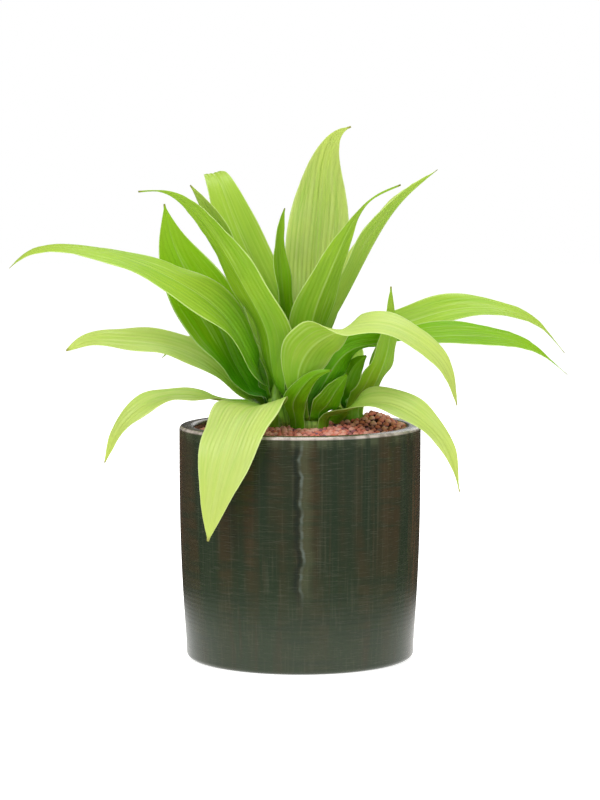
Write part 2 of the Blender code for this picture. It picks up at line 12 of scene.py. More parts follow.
import bmesh
import bpy
import numpy as np
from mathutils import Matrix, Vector


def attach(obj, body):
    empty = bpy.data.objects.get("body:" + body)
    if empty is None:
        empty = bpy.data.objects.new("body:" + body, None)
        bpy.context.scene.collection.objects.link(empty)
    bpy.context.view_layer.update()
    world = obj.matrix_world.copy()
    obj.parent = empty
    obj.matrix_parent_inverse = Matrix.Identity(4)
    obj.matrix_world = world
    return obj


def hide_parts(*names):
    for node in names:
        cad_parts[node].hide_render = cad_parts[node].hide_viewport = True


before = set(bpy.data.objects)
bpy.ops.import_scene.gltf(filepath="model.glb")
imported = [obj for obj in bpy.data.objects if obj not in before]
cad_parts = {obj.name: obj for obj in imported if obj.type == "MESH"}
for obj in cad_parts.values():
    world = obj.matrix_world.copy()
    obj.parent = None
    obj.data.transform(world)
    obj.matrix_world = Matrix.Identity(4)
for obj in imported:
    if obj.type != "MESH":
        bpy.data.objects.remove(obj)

LOG = logging.getLogger("potted_dracaena")
MM = 0.001
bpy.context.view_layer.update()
WHITE = (1.0, 1.0, 1.0, 1.0)


class Tuft(Enum):
    """The tuft of leaves that a stem carries."""

    LEFT = "left"
    MIDDLE = "middle"
    RIGHT = "right"


class ShelterShade(Enum):
    """How deep in the crown a leaf sits, which sets its green: partly the leaf's own, and partly painted
    shade, deeper for the sheltered leaves.
    """

    OUTER = "outer"
    MIDDLE = "middle"
    INNER = "inner"


def srgb(code: str) -> tuple:
    """Turn an sRGB hex colour into linear values.

    Args:
        code: The colour, such as #a6d24e.

    Returns:
        Red, green, blue and alpha.
    """
    channels = [int(code[i:i + 2], 16) / 255 for i in (1, 3, 5)]
    return tuple(c / 12.92 if c <= 0.04045 else ((c + 0.055) / 1.055) ** 2.4 for c in channels) + (1.0,)


def add_node(tree: bpy.types.NodeTree, kind: str, inputs: dict | None = None,
             **settings: object) -> bpy.types.Node:
    """Add a node to a tree with its settings, values and incoming links.

    Args:
        tree: The node tree.
        kind: The node's type name.
        inputs: For an input's name or index, the socket to join to it or its value.
        settings: The node's own properties.

    Returns:
        The new node.
    """
    node = tree.nodes.new(kind)
    for name, value in settings.items():
        setattr(node, name, value)
    for key, value in (inputs or {}).items():
        if isinstance(value, bpy.types.NodeSocket):
            tree.links.new(value, node.inputs[key])
        else:
            node.inputs[key].default_value = value
    return node


def new_material(name: str) -> tuple:
    """Start a node material.

    Args:
        name: The material's name.

    Returns:
        The material, its node tree and its output node.
    """
    material = bpy.data.materials.new(name)
    material.use_nodes = True
    material.node_tree.nodes.clear()
    return material, material.node_tree, add_node(material.node_tree, "ShaderNodeOutputMaterial")


@dataclass(frozen=True)
class Grain:
    """Noise whose patches have a real size along each axis, in millimetres."""

    x: float
    y: float
    z: float
    detail: float = 2.0
    rough: float = 0.5

    def pattern(self, tree: bpy.types.NodeTree, place: bpy.types.NodeSocket,
                unit: float = MM) -> bpy.types.NodeSocket:
        """Draw the noise, around 0.5.

        Args:
            tree: The node tree.
            place: The coordinates' socket.
            unit: A millimetre in the coordinates' own unit.

        Returns:
            The noise's socket.
        """
        scale = tuple(1 / (size * unit) for size in (self.x, self.y, self.z))
        scaled = add_node(tree, "ShaderNodeVectorMath", {0: place, 1: scale}, operation="MULTIPLY")
        noise = add_node(tree, "ShaderNodeTexNoise",
                         {"Vector": scaled.outputs[0], "Scale": 1.0, "Detail": self.detail,
                          "Roughness": self.rough})
        return noise.outputs[0]


@dataclass(frozen=True)
class Band:
    """Where a pattern shows: least before its value reaches start, and most from end on.

    The share changes smoothly between the two. With no start, it is the pattern's value.
    """

    pattern: str
    start: float | None = None
    end: float = 1.0
    least: float = 0.0
    most: float = 1.0

    def share(self, tree: bpy.types.NodeTree, patterns: dict) -> bpy.types.NodeSocket:
        """Work out how far the pattern shows.

        Args:
            tree: The node tree.
            patterns: The finish's patterns by name.

        Returns:
            The share's socket.
        """
        value = patterns[self.pattern]
        if self.start is None:
            return value
        limits = {1: self.start, 2: self.end, 3: self.least, 4: self.most}
        node = add_node(tree, "ShaderNodeMapRange", {0: value, **limits}, interpolation_type="SMOOTHSTEP")
        return node.outputs[0]


class Coat:
    """One colour, laid over what is below it where all its bands show."""

    def __init__(self, colour: str, *bands: Band) -> None:
        """Keep the colour and its bands."""
        self.colour = colour
        self.bands = bands

    def lay(self, tree: bpy.types.NodeTree, below: tuple | bpy.types.NodeSocket,
            patterns: dict) -> bpy.types.NodeSocket:
        """Lay the coat.

        Args:
            tree: The node tree.
            below: The colour below it, a tuple or a socket.
            patterns: The finish's patterns by name.

        Returns:
            The colour with the coat.
        """
        share = self.bands[0].share(tree, patterns)
        for band in self.bands[1:]:
            factors = {0: share, 1: band.share(tree, patterns)}
            share = add_node(tree, "ShaderNodeMath", factors, operation="MULTIPLY").outputs[0]
        parts = {0: share, 6: below, 7: srgb(self.colour)}
        return add_node(tree, "ShaderNodeMix", parts, data_type="RGBA").outputs[2]


def lay_coats(tree: bpy.types.NodeTree, ground: str, coats: tuple,
              patterns: dict) -> bpy.types.NodeSocket:
    """Lay coats of colour in order over a plain ground.

    Args:
        tree: The node tree.
        ground: The ground's sRGB hex colour.
        coats: The coats, the lowest first.
        patterns: The finish's patterns by name.

    Returns:
        The finished colour.
    """
    colour = srgb(ground)
    for coat in coats:
        colour = coat.lay(tree, colour, patterns)
    return colour


def relief_height(tree: bpy.types.NodeTree, patterns: dict, parts: dict) -> bpy.types.NodeSocket:
    """Add up a fine relief from patterns.

    Args:
        tree: The node tree.
        patterns: The finish's patterns by name.
        parts: Each pattern's share in the relief, by name.

    Returns:
        The height's socket.
    """
    height = 0.0
    for name, share in parts.items():
        terms = {0: patterns[name], 1: share, 2: height}
        height = add_node(tree, "ShaderNodeMath", terms, operation="MULTIPLY_ADD").outputs[0]
    return height


def solid_surface(tree: bpy.types.NodeTree, output: bpy.types.Node, height: bpy.types.NodeSocket,
                  relief: tuple, inputs: dict) -> None:
    """Finish an opaque material: its fine relief and its shader.

    Args:
        tree: The material's node tree.
        output: Its output node.
        height: The relief's pattern.
        relief: The relief's strength, and its depth in millimetres.
        inputs: The shader's inputs, such as its colour and roughness.
    """
    strength, depth = relief
    bump = add_node(tree, "ShaderNodeBump",
                    {"Height": height, "Strength": strength, "Distance": depth * MM})
    shader = add_node(tree, "ShaderNodeBsdfPrincipled", {"Normal": bump.outputs[0], **inputs})
    tree.links.new(shader.outputs[0], output.inputs[0])


@dataclass(frozen=True)
class LivingBlade:
    """Leaf tissue: thin, waxy and full of light, with veins along its length.

    The eye reads it by the light that comes through it, the parallel veins, the pale
    margin and a soft gloss that breaks along the veins. Real veins lie under a
    millimetre apart, and the wider ones are drawn as coarse as they need to show.
    """

    shelter: ShelterShade
    # Deep green at the foot of each leaf: partly its own colour, partly painted shade down in the crown.
    heart_green_and_shade: str
    base: str
    middle: str
    tip: str
    under: str
    through: str
    margin: str = "#e3f2a6"
    dried: str = "#8d6f3e"
    roughness: float = 0.40
    gloss_level: float = 0.5
    light_through: float = 0.30
    glow_tint: float = 0.55

    MAPS = ("station", "across", "underside", "narrow")
    UV_UNIT = 1.0
    GRAINS = {
        "vein": Grain(2.1, 130.0, 1.0, 1.0),
        "hair": Grain(0.75, 130.0, 1.0, 1.0),
        "blotch": Grain(17.0, 34.0, 1.0),
        "wax": Grain(6.0, 60.0, 1.0, 3.0),
    }

    def coats(self) -> tuple:
        """Lay greens from base to tip over the deep green at each leaf's foot, which is partly painted
        shade, then the underside, blotches, veins, rib, margins and dry tip.

        Returns:
            The coats, the lowest first.
        """
        return (
            Coat(self.base, Band("station", 0.02, 0.14)),
            Coat(self.middle, Band("station", 0.10, 0.45)),
            Coat(self.tip, Band("station", 0.62, 1.0)),
            Coat(self.under, Band("underside"), Band("station", 0.08, 0.3, 0.2, 0.75)),
            Coat(self.through, Band("blotch", 0.35, 0.7, 0.0, 0.22)),
            Coat(self.base, Band("vein", 0.45, 0.72, 0.0, 0.32), Band("narrow")),
            Coat(self.margin, Band("vein", 0.46, 0.28, 0.0, 0.18), Band("narrow")),
            Coat(self.base, Band("hair", 0.45, 0.65, 0.0, 0.10), Band("narrow")),
            Coat(self.margin, Band("off_rib", 0.055, 0.015), Band("station", 1.0, 0.5, 0.05, 0.25)),
            Coat(self.margin, Band("off_rib", 0.93, 0.985, 0.0, 0.6)),
            Coat(self.dried, Band("station", 0.975, 0.999, 0.0, 0.6)),
        )

    def patterns(self, tree: bpy.types.NodeTree) -> dict:
        """Read the blade's maps and draw its grain.

        Args:
            tree: The material's node tree.

        Returns:
            The patterns' sockets by name.
        """
        place = add_node(tree, "ShaderNodeUVMap", uv_map="blade_mm").outputs[0]
        found = {name: grain.pattern(tree, place, self.UV_UNIT) for name, grain in self.GRAINS.items()}
        for name in self.MAPS:
            found[name] = add_node(tree, "ShaderNodeAttribute", attribute_name=name).outputs["Fac"]
        off_rib = add_node(tree, "ShaderNodeMath", {0: found["across"]}, operation="ABSOLUTE")
        return found | {"off_rib": off_rib.outputs[0]}

    def make(self) -> bpy.types.Material:
        """Build the leaf material.

        Returns:
            The material.
        """
        material, tree, output = new_material("living_blade_" + self.shelter.value)
        patterns = self.patterns(tree)
        # The ground is the foot's deep green, partly painted shade.
        colour = lay_coats(tree, self.heart_green_and_shade, self.coats(), patterns)
        veins = relief_height(tree, patterns, {"hair": 0.25, "vein": 0.8})
        height = add_node(tree, "ShaderNodeMath", {0: veins, 1: patterns["narrow"]}, operation="MULTIPLY")
        bump = add_node(tree, "ShaderNodeBump",
                        {"Height": height.outputs[0], "Strength": 0.32, "Distance": 0.6 * MM}).outputs[0]
        gloss = Band("wax", 0.3, 0.7, self.roughness - 0.06, self.roughness + 0.1)
        surface = add_node(tree, "ShaderNodeBsdfPrincipled",
                           {"Base Color": colour, "Normal": bump, "IOR": 1.42,
                            "Roughness": gloss.share(tree, patterns),
                            "Specular IOR Level": self.gloss_level})
        glow = add_node(tree, "ShaderNodeMix", {0: self.glow_tint, 6: colour, 7: srgb(self.through)},
                        data_type="RGBA")
        lit_through = add_node(tree, "ShaderNodeBsdfTranslucent",
                               {"Color": glow.outputs[2], "Normal": bump})
        mixed = add_node(tree, "ShaderNodeMixShader",
                         {0: self.light_through, 1: surface.outputs[0], 2: lit_through.outputs[0]})
        tree.links.new(mixed.outputs[0], output.inputs[0])
        return material


# The three greens are partly painted shade: the sheltered inner leaves get deeper, more saturated greens
# and, with a lower gloss level, less sheen than the lit outer ones.
BLADES = {
    ShelterShade.OUTER: LivingBlade(ShelterShade.OUTER, heart_green_and_shade="#4e9e00", base="#82c410", middle="#cbdc7c",
                               tip="#c6d66a", under="#93ba2c", through="#d4e45c"),
    ShelterShade.MIDDLE: LivingBlade(ShelterShade.MIDDLE, heart_green_and_shade="#449a00", base="#62b000", middle="#a6c83c",
                                tip="#b6cc58", under="#88b31c", through="#bcd83c"),
    ShelterShade.INNER: LivingBlade(ShelterShade.INNER, heart_green_and_shade="#3e9c00", base="#58b000", middle="#86b40c",
                               tip="#98c028", under="#72ae0a", through="#98d018", gloss_level=0.25),
}


@dataclass(frozen=True)
class ReactiveGlaze:
    """Stoneware under a dark, glossy reactive glaze, brushed on and fired.

    The eye reads it by its near-black green, the browner upright bands where the glaze
    ran, fine crossing brush lines, orange-brown streaks at the sides that are partly
    painted reflection, and a paler run down the front that is partly painted highlight,
    with painted shade to its left and painted highlight to its right. Painted highlight
    also lies just under the rim and along its outer edge. Heights and places are in metres.
    """

    green: str = "#242f20"
    moss: str = "#2b3722"
    brown: str = "#38301f"
    haze: str = "#545242"
    # Orange-brown of the streaks at the sides: partly the glaze's own, partly painted reflection at the
    # pot's left and right edges.
    toast_and_edge_reflection: str = "#6e4629"
    # Light green-brown, a painted highlight beside the front's run and just under the rim.
    olive_highlight: str = "#4e543c"
    # Painted shade to the left of the front's run.
    deep: str = "#16201c"
    # The front's run: partly the glaze's own run, partly painted highlight.
    pale: str = "#78857f"
    rim: str = "#544a42"
    # Pale line along the rim's rounded outer edge: a painted highlight.
    edge: str = "#bfb3aa"
    roughness: float = 0.24
    rim_height: float = 0.2118
    rim_radius: float = 0.1072
    run_sway: tuple = (-0.0020, 0.0042)
    run_left: float = 0.0035
    run_right: float = -0.0040

    GRAINS = {
        "bands": Grain(24.0, 24.0, 260.0, 1.0),
        "runs": Grain(7.0, 7.0, 260.0),
        "threads": Grain(1.6, 1.6, 260.0, 1.0),
        "smears": Grain(60.0, 60.0, 7.0, 2.0, 0.6),
        "brush": Grain(14.0, 14.0, 0.9, 2.0, 0.6),
    }
    SWAY = Grain(1000.0, 1000.0, 30.0, 3.0)
    BREAKS = Grain(1000.0, 1000.0, 13.0)

    def coats(self) -> tuple:
        """Brush on bands and lines, then the streaked sides with their painted reflection, the front's
        run with painted shade and highlight beside it, a painted highlight under the rim, and the rim
        with its painted edge highlight.

        Returns:
            The coats, the lowest first.
        """
        streaks = Band("threads", 0.42, 0.66, 0.0, 0.6)
        front = (Band("y", -0.09, -0.10), Band("z", 0.055, 0.085))
        lip = (self.rim_height - 0.0022, self.rim_height - 0.0006)
        return (
            Coat(self.brown, Band("bands", 0.40, 0.62)),
            Coat(self.moss, Band("z", 0.13, 0.02, 0.0, 0.75)),
            Coat(self.brown, Band("runs", 0.50, 0.75, 0.0, 0.42)),
            Coat(self.green, Band("smears", 0.46, 0.66, 0.0, 0.55)),
            Coat(self.haze, Band("threads", 0.52, 0.75, 0.0, 0.22)),
            Coat(self.haze, Band("brush", 0.50, 0.75, 0.0, 0.20)),
            # Streaks at the pot's left and right edges: partly the glaze's own, partly painted
            # reflection.
            Coat(self.toast_and_edge_reflection, Band("x", 0.092, 0.107, 0.0, 0.75), streaks),
            Coat(self.toast_and_edge_reflection, Band("x", -0.1045, -0.1080), streaks),
            # Painted shade to the run's left, and painted highlight to its right.
            Coat(self.deep, Band("left_of_run", 0.0055, 0.0, 0.0, 0.7), *front),
            Coat(self.olive_highlight, Band("right_of_run", 0.009, 0.0, 0.0, 0.45), *front),
            # The pale run itself, partly painted highlight.
            Coat(self.pale, Band("run", 0.0022, 0.0002, 0.0, 0.34), Band("breaks", 0.35, 0.62, 0.15, 1.0),
                 *front),
            # Painted highlight in a band just under the rim.
            Coat(self.olive_highlight, Band("z", 0.200, 0.2075), Band("runs", 0.40, 0.65, 0.1, 0.6)),
            Coat(self.rim, Band("z", *lip, 0.0, 0.85)),
            # Painted highlight along the rim's rounded outer edge.
            Coat(self.edge, Band("away", self.rim_radius, self.rim_radius + 0.0014), Band("z", *lip),
                 Band("runs", 0.3, 0.6, 0.35, 0.95)),
        )

    def patterns(self, tree: bpy.types.NodeTree) -> dict:
        """Draw the grain, and find each point's place on the pot and beside the front's run.

        Args:
            tree: The material's node tree.

        Returns:
            The patterns' sockets by name.
        """
        place = add_node(tree, "ShaderNodeTexCoord").outputs["Object"]
        found = {name: grain.pattern(tree, place) for name, grain in self.GRAINS.items()}
        parts = add_node(tree, "ShaderNodeSeparateXYZ", {0: place}).outputs
        found |= {"x": parts[0], "y": parts[1], "z": parts[2]}
        flat = add_node(tree, "ShaderNodeCombineXYZ", {0: parts[0], 1: parts[1]}).outputs[0]
        found["away"] = add_node(tree, "ShaderNodeVectorMath", {0: flat}, operation="LENGTH").outputs[1]
        level = add_node(tree, "ShaderNodeCombineXYZ", {2: parts[2]}).outputs[0]
        found |= {"sway": self.SWAY.pattern(tree, level), "breaks": self.BREAKS.pattern(tree, level)}
        centre = Band("sway", 0.3, 0.7, *self.run_sway).share(tree, found)
        off = add_node(tree, "ShaderNodeMath", {0: parts[0], 1: centre}, operation="SUBTRACT").outputs[0]
        beside = {"run": 0.0, "left_of_run": self.run_left, "right_of_run": self.run_right}
        for name, shift in beside.items():
            moved = add_node(tree, "ShaderNodeMath", {0: off, 1: shift}, operation="ADD").outputs[0]
            found[name] = add_node(tree, "ShaderNodeMath", {0: moved}, operation="ABSOLUTE").outputs[0]
        return found

    def make(self) -> bpy.types.Material:
        """Build the pot's glaze.

        Returns:
            The material.
        """
        material, tree, output = new_material("reactive_glaze_fired")
        patterns = self.patterns(tree)
        colour = lay_coats(tree, self.green, self.coats(), patterns)
        shine = Band("brush", 0.3, 0.75, self.roughness - 0.03, self.roughness + 0.05)
        height = relief_height(tree, patterns, {"threads": 0.25, "brush": 0.25})
        solid_surface(tree, output, height, (0.12, 0.4),
                      {"Base Color": colour, "Roughness": shine.share(tree, patterns), "IOR": 1.42})
        return material


@dataclass(frozen=True)
class FiredClay:
    """Expanded clay, rolled into granules and fired in a kiln.

    The eye reads it by its dusty reddish brown, the few purple-grey grains and the small
    dark pores. Painted shade darkens the grains' undersides and the bed between them.
    """

    red: str = "#dc7e6c"
    light: str = "#f2b4a6"
    dark: str = "#8a6072"
    pore: str = "#4a2a24"
    # Near-black painted shade, for the grains' undersides and the bed below them.
    painted_shade_below: str = "#180d0b"

    PORES = Grain(0.7, 0.7, 0.7, 3.0, 0.65)

    def coats(self) -> tuple:
        """Tell lighter and darker grains apart and darken the pores, then lay painted shade on the
        grains' undersides and on the bed between them.

        Returns:
            The coats, the lowest first.
        """
        return (
            Coat(self.light, Band("shade", 0.45, 1.0)),
            Coat(self.dark, Band("shade", 0.28, 0.06)),
            Coat(self.pore, Band("pores", 0.55, 0.75, 0.0, 0.5)),
            # Painted shade: a grain darkens as its faces turn downward.
            Coat(self.painted_shade_below, Band("upward", 0.45, -0.35, 0.0, 0.9)),
            # Painted shade: the bed, with no grain shade of its own, goes near-black between the grains.
            Coat(self.painted_shade_below, Band("shade", 0.05, 0.02)),
        )

    def make(self) -> bpy.types.Material:
        """Build the granules' material.

        Returns:
            The material.
        """
        material, tree, output = new_material("fired_clay_granule")
        place = add_node(tree, "ShaderNodeTexCoord").outputs["Object"]
        facing = add_node(tree, "ShaderNodeNewGeometry").outputs["Normal"]
        patterns = {
            "pores": self.PORES.pattern(tree, place),
            "shade": add_node(tree, "ShaderNodeAttribute", attribute_name="grain_shade").outputs["Fac"],
            "upward": add_node(tree, "ShaderNodeSeparateXYZ", {0: facing}).outputs[2],
        }
        colour = lay_coats(tree, self.red, self.coats(), patterns)
        solid_surface(tree, output, patterns["pores"], (0.6, 0.4),
                      {"Base Color": colour, "Roughness": 0.85, "IOR": 1.45})
        return material


@dataclass(frozen=True)
class DampPeat:
    """Damp peat, pressed round the roots: dark, matt and crumbly to the eye."""

    dark: str = "#2b1f17"
    light: str = "#4b3a2b"

    CRUMBS = Grain(1.6, 1.6, 1.6, 4.0, 0.7)

    def make(self) -> bpy.types.Material:
        """Build the growing medium's material.

        Returns:
            The material.
        """
        material, tree, output = new_material("damp_peat")
        place = add_node(tree, "ShaderNodeTexCoord").outputs["Object"]
        patterns = {"crumbs": self.CRUMBS.pattern(tree, place)}
        colour = lay_coats(tree, self.dark, (Coat(self.light, Band("crumbs", 0.4, 0.7)),), patterns)
        solid_surface(tree, output, patterns["crumbs"], (0.8, 0.8),
                      {"Base Color": colour, "Roughness": 0.95})
        return material


@dataclass(frozen=True)
class SheathedStem:
    """Green stem wrapped in the bases of its leaves.

    The eye reads it as smooth and fleshy, with faint darker fibres, painted shadow in the seams between
    the leaf bases, and paler at the foot.
    Heights are in metres.
    """

    # Darker green for the fibres, and painted shadow in the seams between the leaf bases.
    seam: str = "#3c6a0c"
    skin: str = "#86b436"
    foot: str = "#a5b25a"
    foot_fade: tuple = (0.222, 0.206)

    FIBRES = Grain(1.6, 1.6, 50.0)

    def make(self) -> bpy.types.Material:
        """Build the stems' material.

        Returns:
            The material.
        """
        material, tree, output = new_material("sheathed_stem")
        place = add_node(tree, "ShaderNodeTexCoord").outputs["Object"]
        patterns = {
            "fibres": self.FIBRES.pattern(tree, place),
            "seam": add_node(tree, "ShaderNodeAttribute", attribute_name="seam").outputs["Fac"],
            "z": add_node(tree, "ShaderNodeSeparateXYZ", {0: place}).outputs[2],
        }
        coats = (Coat(self.foot, Band("z", *self.foot_fade)),
                 Coat(self.seam, Band("fibres", 0.45, 0.7, 0.0, 0.3)),
                 # Painted shadow along the seams between the leaf bases and, faintly, at the crown's tip.
                 Coat(self.seam, Band("seam")))
        colour = lay_coats(tree, self.skin, coats, patterns)
        solid_surface(tree, output, patterns["fibres"], (0.3, 0.4),
                      {"Base Color": colour, "Roughness": 0.48, "IOR": 1.42})
        return material


@dataclass(frozen=True)
class SeamlessPaper:
    """White studio paper, rolled out and made to glow evenly; lengths in metres.

    The eye reads it as plain, matt and faintly mottled. To a glossy surface it shows
    a painted reflection instead: a glow, bright near the pot and dark far off, as a floor
    between black cards would look.
    """

    colour: str = "#f6f6f5"
    mottle: str = "#ffffff"
    glow: float = 0.8
    near: float = 0.16
    far: float = 0.42
    near_shine: float = 1.4
    far_shine: float = 0.05

    MOTTLE = Grain(30.0, 30.0, 30.0)

    def make(self) -> bpy.types.Material:
        """Build the floor's material.

        Returns:
            The material.
        """
        material, tree, output = new_material("seamless_paper")
        place = add_node(tree, "ShaderNodeTexCoord").outputs["Object"]
        patterns = {
            "mottle": self.MOTTLE.pattern(tree, place),
            "away": add_node(tree, "ShaderNodeVectorMath", {0: place}, operation="LENGTH").outputs[1],
        }
        mottled = Coat(self.mottle, Band("mottle", 0.3, 0.7, 0.0, 0.04))
        colour = lay_coats(tree, self.colour, (mottled,), patterns)
        paper = add_node(tree, "ShaderNodeBsdfPrincipled",
                         {"Base Color": colour, "Emission Color": colour, "Roughness": 0.9,
                          "Emission Strength": self.glow})
        # Painted reflection: glossy rays see a glow, bright near the pot and nearly dark far off.
        shine = Band("away", self.near, self.far, self.near_shine, self.far_shine).share(tree, patterns)
        mirrored = add_node(tree, "ShaderNodeEmission", {0: colour, 1: shine})
        glossy = add_node(tree, "ShaderNodeLightPath").outputs["Is Glossy Ray"]
        mixed = add_node(tree, "ShaderNodeMixShader",
                         {0: glossy, 1: paper.outputs[0], 2: mirrored.outputs[0]})
        tree.links.new(mixed.outputs[0], output.inputs[0])
        return material


def mesh_object(name: str, verts: np.ndarray, faces: list,
                material: bpy.types.Material) -> bpy.types.Object:
    """Add a smooth-shaded mesh object at the origin, with its faces pointing out.

    Args:
        name: The piece's name.
        verts: Vertices in metres.
        faces: Corner numbers of each face.
        material: Its finish.

    Returns:
        The new object.
    """
    mesh = bpy.data.meshes.new(name)
    mesh.from_pydata(np.asarray(verts, float).tolist(), [], [[int(k) for k in f] for f in faces])
    shape = bmesh.new()
    shape.from_mesh(mesh)
    bmesh.ops.recalc_face_normals(shape, faces=shape.faces)
    shape.to_mesh(mesh)
    shape.free()
    mesh.shade_smooth()
    mesh.materials.append(material)
    obj = bpy.data.objects.new(name, mesh)
    bpy.context.scene.collection.objects.link(obj)
    return obj


def store_map(mesh: bpy.types.Mesh, name: str, values: np.ndarray) -> None:
    """Store a value at each point of a mesh.

    Args:
        mesh: The mesh.
        name: The map's name.
        values: One value for each point.
    """
    layer = mesh.attributes.new(name, "FLOAT", "POINT")
    layer.data.foreach_set("value", np.asarray(values, dtype=np.float32))


def grown(carrier: bpy.types.Object, tree: bpy.types.NodeTree, inputs: dict,
          name: str) -> bpy.types.Object:
    """Run a Geometry Nodes tree on a carrier and keep the result as a plain mesh.

    Args:
        carrier: The object that the tree works on, removed afterwards.
        tree: The tree.
        inputs: Values of its named inputs.
        name: The new piece's name.

    Returns:
        The new piece.
    """
    modifier = carrier.modifiers.new(tree.name, "NODES")
    modifier.node_group = tree
    for item in tree.interface.items_tree:
        if item.in_out == "INPUT" and item.name in inputs:
            modifier[item.identifier] = inputs[item.name]
    bpy.context.view_layer.update()
    graph = bpy.context.evaluated_depsgraph_get()
    mesh = bpy.data.meshes.new_from_object(carrier.evaluated_get(graph))
    mesh.name = name
    obj = bpy.data.objects.new(name, mesh)
    bpy.context.scene.collection.objects.link(obj)
    carrier.modifiers.clear()
    bpy.data.objects.remove(carrier, do_unlink=True)
    return obj


def start_tree(name: str, inputs: dict) -> tuple:
    """Start a Geometry Nodes tree that takes and gives a mesh.

    Args:
        name: The tree's name.
        inputs: Socket types of its named inputs, such as Float.

    Returns:
        The tree, its inputs' sockets by name, and its output node.
    """
    tree = bpy.data.node_groups.new(name, "GeometryNodeTree")
    face = tree.interface
    for title, kind in ({"Geometry": "Geometry"} | inputs).items():
        face.new_socket(title, in_out="INPUT", socket_type="NodeSocket" + kind)
    face.new_socket("Geometry", in_out="OUTPUT", socket_type="NodeSocketGeometry")
    given = {socket.name: socket for socket in add_node(tree, "NodeGroupInput").outputs if socket.name}
    return tree, given, add_node(tree, "NodeGroupOutput")


def place_piece(obj: bpy.types.Object, node: str) -> None:
    """Let a finished piece stand for a CAD node.

    Args:
        obj: The piece.
        node: The CAD node that it replaces.
    """
    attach(obj, "root")
    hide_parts(node)
    LOG.info("%s stands for %s with %d faces", obj.name, node, len(obj.data.polygons))


def natural_spline(points: list, count: int, fineness: int = 40) -> np.ndarray:
    """Evenly spaced points on a natural cubic through a route.

    Args:
        points: The route's points.
        count: Number of stretches between the points returned.
        fineness: Points measured for each of the route's.

    Returns:
        count + 1 points.
    """
    route = np.asarray(points, float)
    knots = np.r_[0.0, np.cumsum(np.linalg.norm(np.diff(route, axis=0), axis=1))]
    step = np.diff(knots)
    size = len(route)
    system = np.eye(size)
    change = np.zeros_like(route)
    for i in range(1, size - 1):
        system[i, i - 1:i + 2] = step[i - 1], 2 * (step[i - 1] + step[i]), step[i]
        ahead = (route[i + 1] - route[i]) / step[i]
        behind = (route[i] - route[i - 1]) / step[i - 1]
        change[i] = 6 * (ahead - behind)
    bend = np.linalg.solve(system, change)
    fine = np.linspace(0, knots[-1], fineness * size)
    cell = np.clip(np.searchsorted(knots, fine, side="right") - 1, 0, size - 2)
    h = step[cell][:, None]
    a = (knots[cell + 1] - fine)[:, None]
    b = (fine - knots[cell])[:, None]
    curve = (bend[cell] * a ** 3 + bend[cell + 1] * b ** 3) / (6 * h)
    curve += (route[cell] / h - bend[cell] * h / 6) * a
    curve += (route[cell + 1] / h - bend[cell + 1] * h / 6) * b
    run = np.r_[0.0, np.cumsum(np.linalg.norm(np.diff(curve, axis=0), axis=1))]
    even = np.linspace(0, run[-1], count + 1)
    return np.stack([np.interp(even, run, curve[:, k]) for k in range(route.shape[1])], axis=1)


def smooth_step(share: np.ndarray | float) -> np.ndarray | float:
    """Ease a share in and out, held between 0 and 1."""
    held = np.clip(share, 0, 1)
    return held * held * (3 - 2 * held)


def route_length(points: np.ndarray) -> float:
    """Length of the route through points."""
    return float(np.sum(np.linalg.norm(np.diff(points, axis=0), axis=1)))


def row_breadths(grid: np.ndarray) -> np.ndarray:
    """Breadth of each row of a grid of points."""
    return np.linalg.norm(np.diff(grid, axis=1), axis=2).sum(axis=1)


def eased(values: tuple, t: np.ndarray) -> np.ndarray:
    """Read values given at even stations, joined by smooth steps.

    Args:
        values: The values from base to tip.
        t: Stations from 0 to 1.

    Returns:
        The value at each station.
    """
    array = np.asarray(values, float)
    spot = np.clip(t, 0, 1) * (len(array) - 1)
    low = np.minimum(spot.astype(int), len(array) - 2)
    part = smooth_step(spot - low)
    return array[low] * (1 - part) + array[low + 1] * part


@dataclass(frozen=True)
class Shoot:
    """One stem: its axis, and the radius, height and number of its leaf seats, in metres."""

    x: float
    y: float
    radius: float
    seat_z: float
    levels: int

    SEAT_PITCH = 0.0045
    SEAT_STEP_IN = 0.0015
    SEAT_GAP = 0.0009
    TIP_RISE = 0.006

    def seat(self, level: float) -> tuple:
        """Radius and height of a seat."""
        return self.radius - self.SEAT_STEP_IN * level, self.seat_z + self.SEAT_PITCH * level

    def stem_radius(self, height: float) -> float:
        """Radius of the stem at a height."""
        taper = self.SEAT_STEP_IN / self.SEAT_PITCH
        return self.radius - self.SEAT_GAP - taper * max(0.0, height - self.seat_z)

    def tip(self) -> float:
        """Height of the growing point."""
        return self.seat_z + self.SEAT_PITCH * self.levels + self.TIP_RISE


SHOOTS = {
    Tuft.LEFT: Shoot(-0.022, 0.011, 0.015, 0.214, 7),
    Tuft.MIDDLE: Shoot(0.008, -0.002, 0.018, 0.214, 7),
    Tuft.RIGHT: Shoot(0.047, 0.010, 0.011, 0.2185, 2),
}


